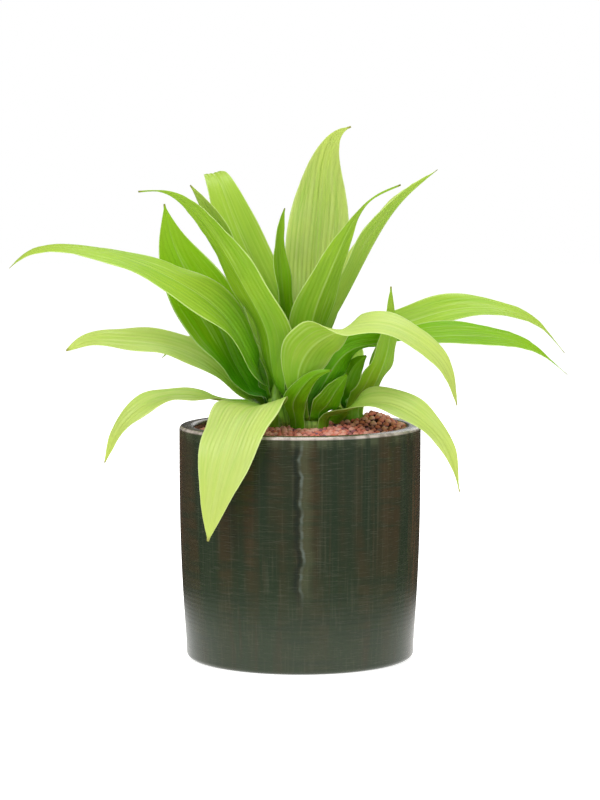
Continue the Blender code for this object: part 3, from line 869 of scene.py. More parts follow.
@dataclass(frozen=True)
class Leaf:
    """One strap leaf; lengths in millimetres, angles in degrees.

    tuft and level give its seat, heading the way that it faces there, and route the
    midrib's points after the clasping base. roll turns the blade about its midrib, fold
    raises both halves of it and cup bends them, each at even stations from base to tip.
    peak is the station of the full width, and neck the length over which the clasping
    base, base wide to each side, gives way to the blade. What is in capitals holds for
    every leaf.
    """

    name: str
    tuft: Tuft
    level: int
    heading: float
    width: float
    route: tuple
    shelter: ShelterShade = ShelterShade.MIDDLE
    roll: tuple = (0, 0, 0)
    fold: tuple = (0, 22, 14, 6, 2)
    cup: tuple = (0.012, -0.004, -0.006)
    peak: float = 0.5
    taper: float = 0.85
    neck: float = 42.0
    base: float = 8.0
    rise: float = 10.0
    sheath: float = 0.0
    lift: float = 1.6
    pleat: float = 0.28

    THICKNESS = 0.75
    EDGE_THICKNESS = 0.4
    EDGE_POWER = 6
    SLIM_BREADTH = 12.0
    SLIMMEST = 0.4
    TIP_HALF_WIDTH = 0.9
    FOOT_WIDTH = 0.42
    SWELL_POWER = 1.4
    CLASP_MM = 6.0
    CURL_MM = 30.0
    LEAST_CURL = 1e-5
    LEAN = 0.34
    SHEATH_LEAN = 0.12
    LEAN_STEP = 0.02
    STATION_MM = 4.5
    LEAST_STATIONS = 12
    MEASURE_POINTS = 60
    SHEATH_MM = 2.0
    CELL_MM = 1.15
    LEAST_HALF_CELLS = 6
    WAVES = 3.5
    WAVE_LAG = 2.1
    WAVE_EASE = 0.8
    PLEAT_MM = 4.2
    FINE_PLEAT = 0.57
    FINE_SHARE = 0.55
    PLEAT_LAG = 6
    PLEAT_DRIFT = 0.8
    DRIFT_TURN = 3
    FLAT_POWER = 4
    GROOVE_MM = 1.6
    GROOVE_DEPTH = 1.6
    NARROW_POWER = 1.5
    LEAST_NARROW = 0.1
    VEIN_SHIFTS = 17
    VEIN_SHIFT_MM = 40.0

    def number(self) -> int:
        """A number of this leaf's own, from its name."""
        return sum(map(ord, self.name))

    def midrib(self, count: int) -> np.ndarray:
        """Midrib points: up and out from the seat, then through the route.

        Args:
            count: Number of stretches between the points.

        Returns:
            count + 1 points in millimetres.
        """
        shoot = SHOOTS[self.tuft]
        radius, height = (value / MM for value in shoot.seat(self.level))
        heading = math.radians(self.heading)
        lean = self.SHEATH_LEAN if self.sheath else self.LEAN - self.LEAN_STEP * self.level
        out = radius + lean * self.rise
        clasp = [(shoot.x / MM + r * math.cos(heading), shoot.y / MM + r * math.sin(heading), z)
                 for r, z in ((radius, height), (out, height + self.rise))]
        return natural_spline(clasp + list(self.route), count)

    def half_widths(self, t: np.ndarray, length: float) -> np.ndarray:
        """Half width along the midrib: clasping base, widest part, tapering tip.

        Args:
            t: Stations from base to tip.
            length: The midrib's length.

        Returns:
            The half width at each station.
        """
        swell = np.sin(np.pi / 2 * np.clip(t / self.peak, 0, 1)) ** self.SWELL_POWER
        rise = self.FOOT_WIDTH + (1 - self.FOOT_WIDTH) * swell
        past = np.clip((t - self.peak) / (1 - self.peak), 0, 1)
        fall = np.maximum(np.cos(np.pi / 2 * past), 0) ** self.taper
        half = np.maximum(rise * fall * self.width / 2, self.TIP_HALF_WIDTH)
        reach = smooth_step((t * length - self.CLASP_MM) / self.neck)
        return half * reach + self.base * (1 - reach)

    def pleats(self, s: np.ndarray, t: float, draw: np.ndarray) -> np.ndarray:
        """Height of the lengthwise pleats across the blade, and of the midrib's groove.

        Args:
            s: Places across the blade, from -1 to 1 at its full width.
            t: Station from base to tip.
            draw: Three random numbers of this leaf.

        Returns:
            The height at each place.
        """
        place = s * self.width / 2
        swell = math.sin(math.pi * t) ** 0.5 if 0 < t < 1 else 0.0
        lag = self.PLEAT_LAG * draw
        drift = self.PLEAT_DRIFT * np.sin(self.DRIFT_TURN * t + lag[2])
        coarse = np.sin(2 * np.pi * place / self.PLEAT_MM + lag[0] + drift)
        fine = np.sin(2 * np.pi * place / (self.PLEAT_MM * self.FINE_PLEAT) + lag[1])
        groove = -np.exp(-(place / self.GROOVE_MM) ** 2) * self.GROOVE_DEPTH
        flat_edge = 1 - s ** self.FLAT_POWER
        return self.pleat * swell * ((coarse + self.FINE_SHARE * fine) * flat_edge + groove)

    def surface(self, stations: int, cells: int) -> tuple:
        """Middle surface of the blade.

        Args:
            stations: Number of cells along the midrib.
            cells: Number of cells across.

        Returns:
            The grid of points in millimetres, and the midrib's length.
        """
        spine = self.midrib(stations)
        length = route_length(spine)
        t = np.linspace(0, 1, stations + 1)
        along = np.gradient(spine, axis=0)
        along /= np.linalg.norm(along, axis=1, keepdims=True)
        half = self.half_widths(t, length)
        roll = np.radians(eased(self.roll, t))
        fold = np.radians(eased(self.fold, t))
        clasp = np.clip(1 - t * length / self.CURL_MM, 0, 1) ** 2
        seat_radius = SHOOTS[self.tuft].seat(self.level)[0] / MM
        curl = eased(self.cup, t)
        curl = curl + (1 / seat_radius - curl) * clasp
        curl = np.where(np.abs(curl) < self.LEAST_CURL, self.LEAST_CURL, curl)
        swell = np.maximum(np.sin(np.pi * t), 0) ** self.WAVE_EASE
        s = np.linspace(-1, 1, cells + 1)
        lag = np.where(s < 0, 0.0, self.WAVE_LAG)
        draw = np.random.default_rng(self.number()).uniform(size=3)
        heading = math.radians(self.heading)
        side = np.array([-math.sin(heading), math.cos(heading), 0.0])
        grid = np.zeros((stations + 1, cells + 1, 3))
        for i in range(stations + 1):
            side = side - along[i] * (side @ along[i])
            side /= np.linalg.norm(side)
            up = np.cross(along[i], side)
            across = side * math.cos(roll[i]) + up * math.sin(roll[i])
            normal = up * math.cos(roll[i]) - side * math.sin(roll[i])
            bent = fold[i] + curl[i] * np.abs(s) * half[i]
            reach = (np.sin(bent) - math.sin(fold[i])) / curl[i]
            raised = (math.cos(fold[i]) - np.cos(bent)) / curl[i]
            raised += self.lift * swell[i] * s ** 2 * np.sin(2 * math.pi * self.WAVES * t[i] + lag)
            raised += self.pleats(s * half[i] / (self.width / 2), t[i], draw)
            grid[i] = spine[i] + np.outer(np.sign(s) * reach, across) + np.outer(raised, normal)
        return grid, length

    def with_sheath(self, grid: np.ndarray) -> np.ndarray:
        """Carry the blade's foot down along the stem as a sheath.

        Args:
            grid: The blade's points in millimetres, from its seat up.

        Returns:
            The points with the sheath's rows before them.
        """
        if not self.sheath:
            return grid
        shoot = SHOOTS[self.tuft]
        rows = max(1, round(self.sheath / self.SHEATH_MM))
        widening = shoot.SEAT_STEP_IN / shoot.SEAT_PITCH
        radius, height = (value / MM for value in shoot.seat(self.level))
        turns = math.radians(self.heading) + np.linspace(-1, 1, grid.shape[1]) * self.base / radius
        feet = []
        for k in range(rows):
            drop = self.sheath * (rows - k) / rows
            out = radius + widening * min(drop, self.level * shoot.SEAT_PITCH / MM)
            feet.append(np.stack([shoot.x / MM + out * np.cos(turns), shoot.y / MM + out * np.sin(turns),
                                  np.full_like(turns, height - drop)], axis=1))
        return np.concatenate([np.array(feet), grid])

    def thickness(self, grid: np.ndarray) -> np.ndarray:
        """Thickness of the blade, less at its margins and where it is narrow.

        Args:
            grid: The middle surface's points.

        Returns:
            The thickness at each point.
        """
        s = np.linspace(-1, 1, grid.shape[1])
        thick = self.EDGE_THICKNESS + (self.THICKNESS - self.EDGE_THICKNESS) * (1 - s ** self.EDGE_POWER)
        slim = np.clip(row_breadths(grid) / self.SLIM_BREADTH, self.SLIMMEST, 1.0)
        return slim[:, None] * thick

    def build(self, material: bpy.types.Material) -> bpy.types.Object:
        """Make the closed blade with its maps of place.

        Args:
            material: The leaf finish.

        Returns:
            The blade's object.
        """
        length = route_length(self.midrib(self.MEASURE_POINTS))
        stations = max(self.LEAST_STATIONS, round(length / self.STATION_MM))
        cells = 2 * max(self.LEAST_HALF_CELLS, round(self.width / self.CELL_MM / 2))
        grid, length = self.surface(stations, cells)
        grid = self.with_sheath(grid)
        normal = np.cross(np.gradient(grid, axis=0), np.gradient(grid, axis=1))
        normal /= np.linalg.norm(normal, axis=2, keepdims=True)
        shift = normal * self.thickness(grid)[:, :, None] / 2
        rows, columns = grid.shape[:2]
        index = np.arange(rows * columns).reshape(rows, columns)
        below = rows * columns
        faces = []
        for i in range(rows - 1):
            for j in range(columns - 1):
                a, b, c, d = index[i, j], index[i + 1, j], index[i + 1, j + 1], index[i, j + 1]
                faces += [(a, b, c, d), (below + a, below + d, below + c, below + b)]
        edge = [*index[:, 0], *index[-1, 1:], *index[-2::-1, -1], *index[0, -2:0:-1]]
        faces += [(a, b, below + b, below + a) for a, b in zip(edge, edge[1:] + edge[:1])]
        verts = np.concatenate([(grid + shift).reshape(-1, 3), (grid - shift).reshape(-1, 3)])
        obj = mesh_object(self.name.replace("leaf", "blade"), verts * MM, faces, material)
        self.map_places(obj.data, grid, length)
        return obj

    def map_places(self, mesh: bpy.types.Mesh, grid: np.ndarray, length: float) -> None:
        """Store where each point lies on the leaf, for its veins, margins and tip.

        Args:
            mesh: The blade's mesh, its upper points before its lower ones.
            grid: Its middle surface's points, with its sheath.
            length: The midrib's length in millimetres.
        """
        rows, columns = grid.shape[:2]
        share = np.clip(row_breadths(grid) / self.width, self.LEAST_NARROW, 1.0) ** self.NARROW_POWER
        across = np.tile(np.linspace(-1, 1, columns), rows * 2)
        station = np.tile(np.repeat(np.linspace(0, 1, rows), columns), 2)
        store_map(mesh, "across", across)
        store_map(mesh, "station", station)
        store_map(mesh, "underside", np.repeat([0.0, 1.0], rows * columns))
        store_map(mesh, "narrow", np.tile(np.repeat(share, columns), 2))
        corner = np.zeros(len(mesh.loops), dtype=np.int32)
        mesh.loops.foreach_get("vertex_index", corner)
        shift = self.number() % self.VEIN_SHIFTS * self.VEIN_SHIFT_MM
        place = np.stack([across[corner] * self.width / 2 + shift, station[corner] * length], axis=1)
        layer = mesh.uv_layers.new(name="blade_mm")
        layer.data.foreach_set("uv", place.astype(np.float32).ravel())


LEAVES = (
    Leaf("leaf_left_1", Tuft.LEFT, 0, -115, 66,
         ((-34, -32, 232), (-45, -68, 234), (-58, -100, 216), (-69, -112, 184), (-81, -110, 121)),
         ShelterShade.OUTER, roll=(0, 14, 15, 6, 0), fold=(0, 12, 4, 4, 2), peak=0.40, taper=1.0, base=9.5,
         sheath=9),
    Leaf("leaf_left_2", Tuft.LEFT, 1, -168, 29,
         ((-59, 0, 234), (-88, -9, 239), (-119, -22, 241), (-145, -32, 231), (-160, -35, 217),
          (-171, -37, 196), (-176, -37, 182)),
         ShelterShade.OUTER, roll=(0, -4, -14, -24, -18), fold=(0, 10, 8, 5, 2), neck=80, base=5.5),
    Leaf("leaf_left_3", Tuft.LEFT, 2, 162, 29,
         ((-45, 17, 236), (-62, 20, 249), (-85, 24, 268), (-118, 28, 283), (-165, 30, 289),
          (-198, 30, 287), (-215, 30, 278)),
         ShelterShade.OUTER, roll=(0, -30, -42, -42, -42, -42, -42), peak=0.45, taper=0.6, neck=26,
         base=9.5, rise=5),
    Leaf("leaf_left_4", Tuft.LEFT, 4, 158, 59,
         ((-41, 15, 240), (-50, 17, 250), (-60, 19, 267), (-70, 21, 291), (-97, 24, 339),
          (-117, 26, 380), (-124, 24, 413)),
         ShelterShade.INNER, roll=(0, -35, -60, -70, -70, -60), taper=1.15, neck=30, base=8.5,
         rise=4),
    Leaf("leaf_left_5", Tuft.LEFT, 5, -160, 51,
         ((-37, -4, 258), (-61, -17, 303), (-110, -29, 345), (-170, -36, 370), (-222, -36, 376),
          (-247, -33, 369), (-261, -30, 357)),
         roll=(0, -42, -50, -40, -23, -28, -30), fold=(0, 12, 2, -4, -4), peak=0.42, taper=0.92,
         neck=34, base=4.5),
    Leaf("leaf_left_6", Tuft.LEFT, 7, 20, 39,
         ((-23, 6, 281), (-38, -2, 318), (-57, -8, 359), (-84, -10, 411), (-99, -10, 431)),
         roll=(0, 10, 20, 30), base=4.25),
    Leaf("leaf_left_7", Tuft.LEFT, 0, 85, 38,
         ((-16, 48, 244), (-21, 92, 266), (-30, 165, 228)), base=9.5),
    Leaf("leaf_left_8", Tuft.LEFT, 3, 118, 34,
         ((-38, 38, 254), (-62, 66, 279), (-96, 108, 287), (-132, 150, 262)), base=7.25),
    Leaf("leaf_left_9", Tuft.LEFT, 6, 112, 30,
         ((-34, 36, 276), (-54, 58, 296), (-80, 86, 310), (-114, 124, 302)),
         ShelterShade.OUTER, base=5),
    Leaf("leaf_middle_1", Tuft.MIDDLE, 0, -130, 24,
         ((-6, -23, 233), (-2, -32, 244), (6, -37, 255), (16, -41, 263), (28, -43, 266)),
         ShelterShade.INNER, roll=(0, 12, 8, 0), fold=(0, 6, 22, 14), cup=(0.006, 0.0, -0.004), lift=0.5,
         peak=0.1, taper=0.9, neck=16, base=9, rise=6, sheath=9),
    Leaf("leaf_middle_2", Tuft.MIDDLE, 0, -35, 33,
         ((35, -16, 225), (55, -31, 234), (76, -45, 238), (108, -61, 225), (128, -67, 205),
          (142, -72, 160)),
         ShelterShade.OUTER, roll=(0, 42, 42, 36), peak=0.36, taper=1.15, neck=18, base=9, rise=5,
         sheath=9),
    Leaf("leaf_middle_3", Tuft.MIDDLE, 1, -114, 49,
         ((-2, -25, 243), (1, -34, 271), (17, -48, 293), (42, -62, 305), (75, -74, 309),
          (105, -80, 296), (127, -82, 274), (139, -80, 238)),
         ShelterShade.OUTER, roll=(0, 9, 34, 96, 103, 104, 104), fold=(0, 10, 8, 6, 2), peak=0.3,
         taper=0.8, neck=64, base=7.5),
    Leaf("leaf_middle_4", Tuft.MIDDLE, 1, -60, 30,
         ((22, -22, 231), (30, -24, 243), (37, -23, 253), (43, -20, 261)),
         ShelterShade.INNER, roll=(0, -10, -15), fold=(0, 4, 6, 4), cup=(0.004, 0.0, -0.004), lift=0.5,
         peak=0.2, neck=12, base=8, rise=8),
    Leaf("leaf_middle_5", Tuft.MIDDLE, 2, -168, 50,
         ((-18, -9, 245), (-29, -22, 295), (-48, -30, 337), (-71, -28, 378), (-100, -19, 413),
          (-122, -14, 425), (-146, -8, 425)),
         roll=(0, 30, 28, 33, 43), peak=0.38, taper=1.8, neck=52, base=8, pleat=0.34),
    Leaf("leaf_middle_6", Tuft.MIDDLE, 2, -80, 50,
         ((16, -21, 243), (27, -22, 262), (43, -22, 281), (70, -20, 289), (108, -19, 293),
          (162, -16, 295), (206, -16, 286), (242, -16, 260)),
         ShelterShade.INNER, roll=(0, 5, 45, 92, 104, 98, 90), taper=1.4, neck=36, base=8),
    Leaf("leaf_middle_7", Tuft.MIDDLE, 3, 16, 37,
         ((27, 9, 253), (47, 17, 283), (91, 20, 302), (128, 20, 314), (166, 19, 319),
          (218, 17, 303), (242, 15, 277)),
         roll=(0, 18, 38, 36, 18, 10), taper=1.3, base=7),
    Leaf("leaf_middle_8", Tuft.MIDDLE, 4, -62, 41,
         ((9, -17, 291), (22, -20, 341), (40, -18, 383), (63, -12, 417), (91, -4, 431)),
         peak=0.34, taper=2.6),
    Leaf("leaf_middle_9", Tuft.MIDDLE, 5, 2, 59,
         ((23, 13, 289), (38, 22, 321), (69, 26, 380), (94, 30, 416), (126, 32, 444)),
         ShelterShade.OUTER, roll=(0, 5, 5, 5), fold=(0, 30, 34, 34, 25), taper=1.1, neck=60,
         base=4),
    Leaf("leaf_middle_10", Tuft.MIDDLE, 5, 148, 43,
         ((-15, 13, 289), (-37, 28, 345), (-62, 44, 401), (-77, 60, 437), (-83, 84, 437),
          (-85, 99, 421)),
         roll=(0, -30, -40, -40), peak=0.45, neck=70, base=5),
    Leaf("leaf_middle_11", Tuft.MIDDLE, 6, 84, 59,
         ((12, 36, 287), (14, 62, 355), (20, 68, 423), (28, 66, 465), (37, 64, 478), (47, 61, 483)),
         ShelterShade.OUTER, roll=(0, 5, 10, 10), peak=0.55, taper=1.15, neck=80, base=4, pleat=0.75),
    Leaf("leaf_middle_12", Tuft.MIDDLE, 7, 150, 27,
         ((-11, 0, 290), (-21, 1, 358), (-21, 2, 381), (-14, 2, 410)),
         ShelterShade.INNER, roll=(0, -10, -10), fold=(0, 30, 35, 30, 20), base=5.75),
    Leaf("leaf_middle_13", Tuft.MIDDLE, 0, 97, 34,
         ((9, 46, 236), (11, 90, 243), (12, 130, 205), (12, 138, 150)), ShelterShade.OUTER, base=9),
    Leaf("leaf_middle_14", Tuft.MIDDLE, 2, 88, 38,
         ((24, 42, 254), (33, 84, 274), (42, 130, 272), (52, 195, 210)), neck=55, base=5.5),
    Leaf("leaf_middle_15", Tuft.MIDDLE, 3, 122, 42,
         ((-6, 44, 272), (-12, 84, 320), (-16, 122, 336), (-22, 176, 290)), base=8.75),
    Leaf("leaf_middle_16", Tuft.MIDDLE, 0, 20, 18,
         ((33, 1, 221), (38, -4, 223), (44, -8, 224)),
         ShelterShade.INNER, roll=(0, 45, 60), fold=(0, 6, 4), lift=0.4, peak=0.4, neck=10, base=5,
         rise=4, sheath=9),
    Leaf("leaf_right_1", Tuft.RIGHT, 1, -52, 31,
         ((61, -6, 241), (71, -22, 260), (79, -41, 289), (81, -50, 319), (81, -52, 342)),
         peak=0.14, taper=0.95, neck=14, base=12, rise=6, sheath=12),
    Leaf("leaf_right_2", Tuft.RIGHT, 2, -160, 24,
         ((40, -4, 247), (47, -9, 264), (60, -15, 277)),
         ShelterShade.INNER, roll=(0, 20, 30), fold=(0, 30, 34, 20), neck=16, base=7),
    Leaf("leaf_right_3", Tuft.RIGHT, 0, 84, 30,
         ((49, 54, 236), (48, 96, 234), (47, 130, 196), (47, 138, 150)), ShelterShade.OUTER, base=7.5),
    Leaf("leaf_right_4", Tuft.RIGHT, 2, 30, 30,
         ((68, 22, 252), (83, 36, 287), (116, 56, 309), (163, 86, 316)), base=6),
)


@dataclass
class Foliage:
    """All the strap leaves of the three shoots."""

    leaves: tuple = LEAVES

    def build(self) -> None:
        """Make every blade in its own green and let it stand for its CAD leaf."""
        greens = {shelter: finish.make() for shelter, finish in BLADES.items()}
        for leaf in self.leaves:
            place_piece(leaf.build(greens[leaf.shelter]), leaf.name)


@dataclass
class Stem:
    """A short stem wrapped in leaf bases; lengths in metres."""

    tuft: Tuft
    foot: float = 0.152
    foot_gap: float = 0.003
    below_seats: float = 0.012
    low_rings: int = 6
    rings: int = 60
    steps: int = 96
    crown: float = 0.0016
    sheath_rise: float = 0.00035
    base_spread: float = 1.25
    base_fade: float = 0.10
    base_edge: float = 0.6
    base_round: float = 1.4
    seam_width: float = 0.07
    seam_strength: float = 0.7
    crown_seam: float = 0.2

    def build(self, material: bpy.types.Material) -> None:
        """Make the stem with the overlapping bases in relief.

        Args:
            material: The stem finish.
        """
        shoot = SHOOTS[self.tuft]
        top = shoot.seat_z - self.below_seats
        heights = np.concatenate([np.linspace(self.foot + self.foot_gap, top, self.low_rings),
                                  np.linspace(top + MM, shoot.tip(), self.rings)])
        angle = np.arange(self.steps) * 2 * np.pi / self.steps
        verts = [(shoot.x, shoot.y, self.foot)]
        seams = [0.0]
        for height in heights:
            rise, seam = self.relief(angle, height)
            radius = shoot.stem_radius(height) - self.sheath_rise + rise
            x, y = shoot.x + radius * np.cos(angle), shoot.y + radius * np.sin(angle)
            verts += list(zip(x, y, np.full_like(x, height)))
            seams += list(seam)
        verts.append((shoot.x, shoot.y, shoot.tip() + self.crown))
        # A little painted shadow at the crown's tip.
        seams.append(self.crown_seam)
        faces = [(0, 1 + (k + 1) % self.steps, 1 + k) for k in range(self.steps)]
        for i in range(len(heights) - 1):
            for k in range(self.steps):
                a = 1 + i * self.steps + k
                b = 1 + i * self.steps + (k + 1) % self.steps
                faces.append((a, b, b + self.steps, a + self.steps))
        last = 1 + (len(heights) - 1) * self.steps
        faces += [(last + k, last + (k + 1) % self.steps, len(verts) - 1) for k in range(self.steps)]
        obj = mesh_object("sheathed_stem_" + self.tuft.value, np.array(verts), faces, material)
        store_map(obj.data, "seam", np.array(seams))
        place_piece(obj, "stem_" + self.tuft.value)

    def relief(self, angle: np.ndarray, height: float) -> tuple:
        """Relief of the leaf bases that run down the stem, and the painted shadow in the seams between
        them.

        Args:
            angle: Places round the stem, in radians.
            height: Height on the stem.

        Returns:
            Rise, and strength of the seams' painted shadow, at each place.
        """
        rise = np.zeros_like(angle)
        seam = np.zeros_like(angle)
        shoot = SHOOTS[self.tuft]
        for leaf in LEAVES:
            radius, seat = shoot.seat(leaf.level)
            if leaf.tuft is not self.tuft or height > seat:
                continue
            half = leaf.base * MM / radius * self.base_spread
            off = np.abs((angle - math.radians(leaf.heading) + np.pi) % (2 * np.pi) - np.pi)
            inside = np.clip((half - off) / self.base_fade, 0, 1)
            swell = self.base_edge + (1 - self.base_edge) * np.cos(off / half * self.base_round)
            rise = np.maximum(rise, inside * self.sheath_rise * swell)
            # Painted shadow along each leaf base's edges.
            seam = np.maximum(seam, np.exp(-((off - half) / self.seam_width) ** 2))
        return rise, seam * self.seam_strength


@dataclass
class Pot:
    """The glazed cylinder pot; lengths in metres."""

    height: float = 0.213
    top_radius: float = 0.110
    middle_radius: float = 0.108
    low_radius: float = 0.104
    base_radius: float = 0.098
    middle_z: float = 0.078
    low_z: float = 0.014
    inner_radius: float = 0.0968
    inner_low_radius: float = 0.088
    floor: float = 0.013
    floor_round: float = 0.006
    throat: float = 0.184
    rim_round: float = 0.0035
    steps: int = 192
    wall_rings: int = 150
    ring_pitch: float = 0.0042
    ring_depth: float = 0.00003

    DRIFT_SCALE = 18.0
    DRIFT_TURNS = 9.0
    WOBBLE = 4.0

    def outline(self) -> list:
        """Trace the pot's section, up outside and down inside.

        Returns:
            Points (radius, height) from the base's centre to the floor's.
        """
        foot_round = self.low_radius - self.base_radius
        foot = self.arc((self.base_radius, foot_round), foot_round, -90, -15, 8)
        rim_z = self.height - self.rim_round
        wall = natural_spline([(self.low_radius, self.low_z), (self.middle_radius, self.middle_z),
                               (self.top_radius, rim_z)], self.wall_rings)
        rim = self.arc((self.top_radius - self.rim_round, rim_z), self.rim_round, 15, 90, 6)
        rim += self.arc((self.inner_radius + self.rim_round, rim_z), self.rim_round, 90, 180, 8)
        inside = [(self.inner_radius, self.throat),
                  (self.inner_low_radius, self.floor + self.floor_round),
                  (self.inner_low_radius - self.floor_round, self.floor)]
        return [(0.0, 0.0), *foot, *map(tuple, wall), *rim, *inside, (0.0, self.floor)]

    @staticmethod
    def arc(centre: tuple, radius: float, start: float, end: float, count: int) -> list:
        """Draw an arc.

        Args:
            centre: Its centre's radius and height.
            radius: Its own radius.
            start: Angle of its first point, in degrees.
            end: Angle of its last point.
            count: Number of stretches between its points.

        Returns:
            The points.
        """
        angles = np.radians(np.linspace(start, end, count + 1))
        return [(centre[0] + radius * math.cos(a), centre[1] + radius * math.sin(a)) for a in angles]

    def turned(self, material: bpy.types.Material) -> bpy.types.Object:
        """Turn the outline once round the pot's axis.

        Args:
            material: The pot's finish.

        Returns:
            The plain pot.
        """
        verts = []
        rings = []
        turns = [2 * math.pi * k / self.steps for k in range(self.steps)]
        for radius, height in self.outline():
            corners = turns if radius else turns[:1]
            rings.append(range(len(verts), len(verts) + len(corners)))
            verts += [(radius * math.cos(a), radius * math.sin(a), height) for a in corners]
        faces = []
        for low, high in zip(rings, rings[1:]):
            for k in range(self.steps):
                corners = [low[k % len(low)], low[(k + 1) % len(low)],
                           high[(k + 1) % len(high)], high[k % len(high)]]
                faces.append(list(dict.fromkeys(corners)))
        return mesh_object("pot_blank", np.array(verts), faces, material)

    def throwing_rings(self, material: bpy.types.Material) -> bpy.types.NodeTree:
        """Press the potter's turning marks into the wall, by Geometry Nodes.

        Args:
            material: The pot's finish.

        Returns:
            The tree.
        """
        tree, given, out = start_tree("throwing_rings", {"Ring pitch": "Float", "Ring depth": "Float"})
        place = add_node(tree, "GeometryNodeInputPosition").outputs[0]
        normal = add_node(tree, "GeometryNodeInputNormal").outputs[0]
        height = add_node(tree, "ShaderNodeSeparateXYZ", {0: place}).outputs[2]
        drift = add_node(tree, "ShaderNodeTexNoise",
                         {"Vector": place, "Scale": self.DRIFT_SCALE, "Detail": 1.0}).outputs[0]
        turn = add_node(tree, "ShaderNodeMath", {0: height, 1: given["Ring pitch"]}, operation="DIVIDE")
        strayed = add_node(tree, "ShaderNodeMath", {0: drift, 1: self.DRIFT_TURNS}, operation="MULTIPLY")
        angle = add_node(tree, "ShaderNodeMath", {0: turn.outputs[0], 1: math.tau, 2: strayed.outputs[0]},
                         operation="MULTIPLY_ADD")
        ring = add_node(tree, "ShaderNodeMath", {0: angle.outputs[0]}, operation="SINE")
        stray = add_node(tree, "ShaderNodeMath", {0: drift, 1: 0.5}, operation="SUBTRACT")
        uneven = add_node(tree, "ShaderNodeMath",
                          {0: stray.outputs[0], 1: self.WOBBLE, 2: ring.outputs[0]},
                          operation="MULTIPLY_ADD")
        lift = add_node(tree, "ShaderNodeMath", {0: uneven.outputs[0], 1: given["Ring depth"]},
                        operation="MULTIPLY")
        shift = add_node(tree, "ShaderNodeVectorMath", {0: normal, "Scale": lift.outputs[0]},
                         operation="SCALE")
        above = add_node(tree, "ShaderNodeMath", {0: height, 1: self.low_z}, operation="GREATER_THAN")
        below = add_node(tree, "ShaderNodeMath", {0: height, 1: self.height - self.rim_round},
                         operation="LESS_THAN")
        wall = add_node(tree, "ShaderNodeMath", {0: above.outputs[0], 1: below.outputs[0]},
                        operation="MULTIPLY")
        moved = add_node(tree, "GeometryNodeSetPosition",
                         {"Geometry": given["Geometry"], "Offset": shift.outputs[0],
                          "Selection": wall.outputs[0]})
        real = add_node(tree, "GeometryNodeRealizeInstances", {0: moved.outputs[0]})
        dressed = add_node(tree, "GeometryNodeSetMaterial", {0: real.outputs[0], "Material": material})
        tree.links.new(dressed.outputs[0], out.inputs[0])
        return tree

    def build(self) -> None:
        """Make the pot and let it stand for its CAD node."""
        glaze = ReactiveGlaze().make()
        obj = grown(self.turned(glaze), self.throwing_rings(glaze),
                    {"Ring pitch": self.ring_pitch, "Ring depth": self.ring_depth}, "glazed_pot")
        place_piece(obj, "pot")


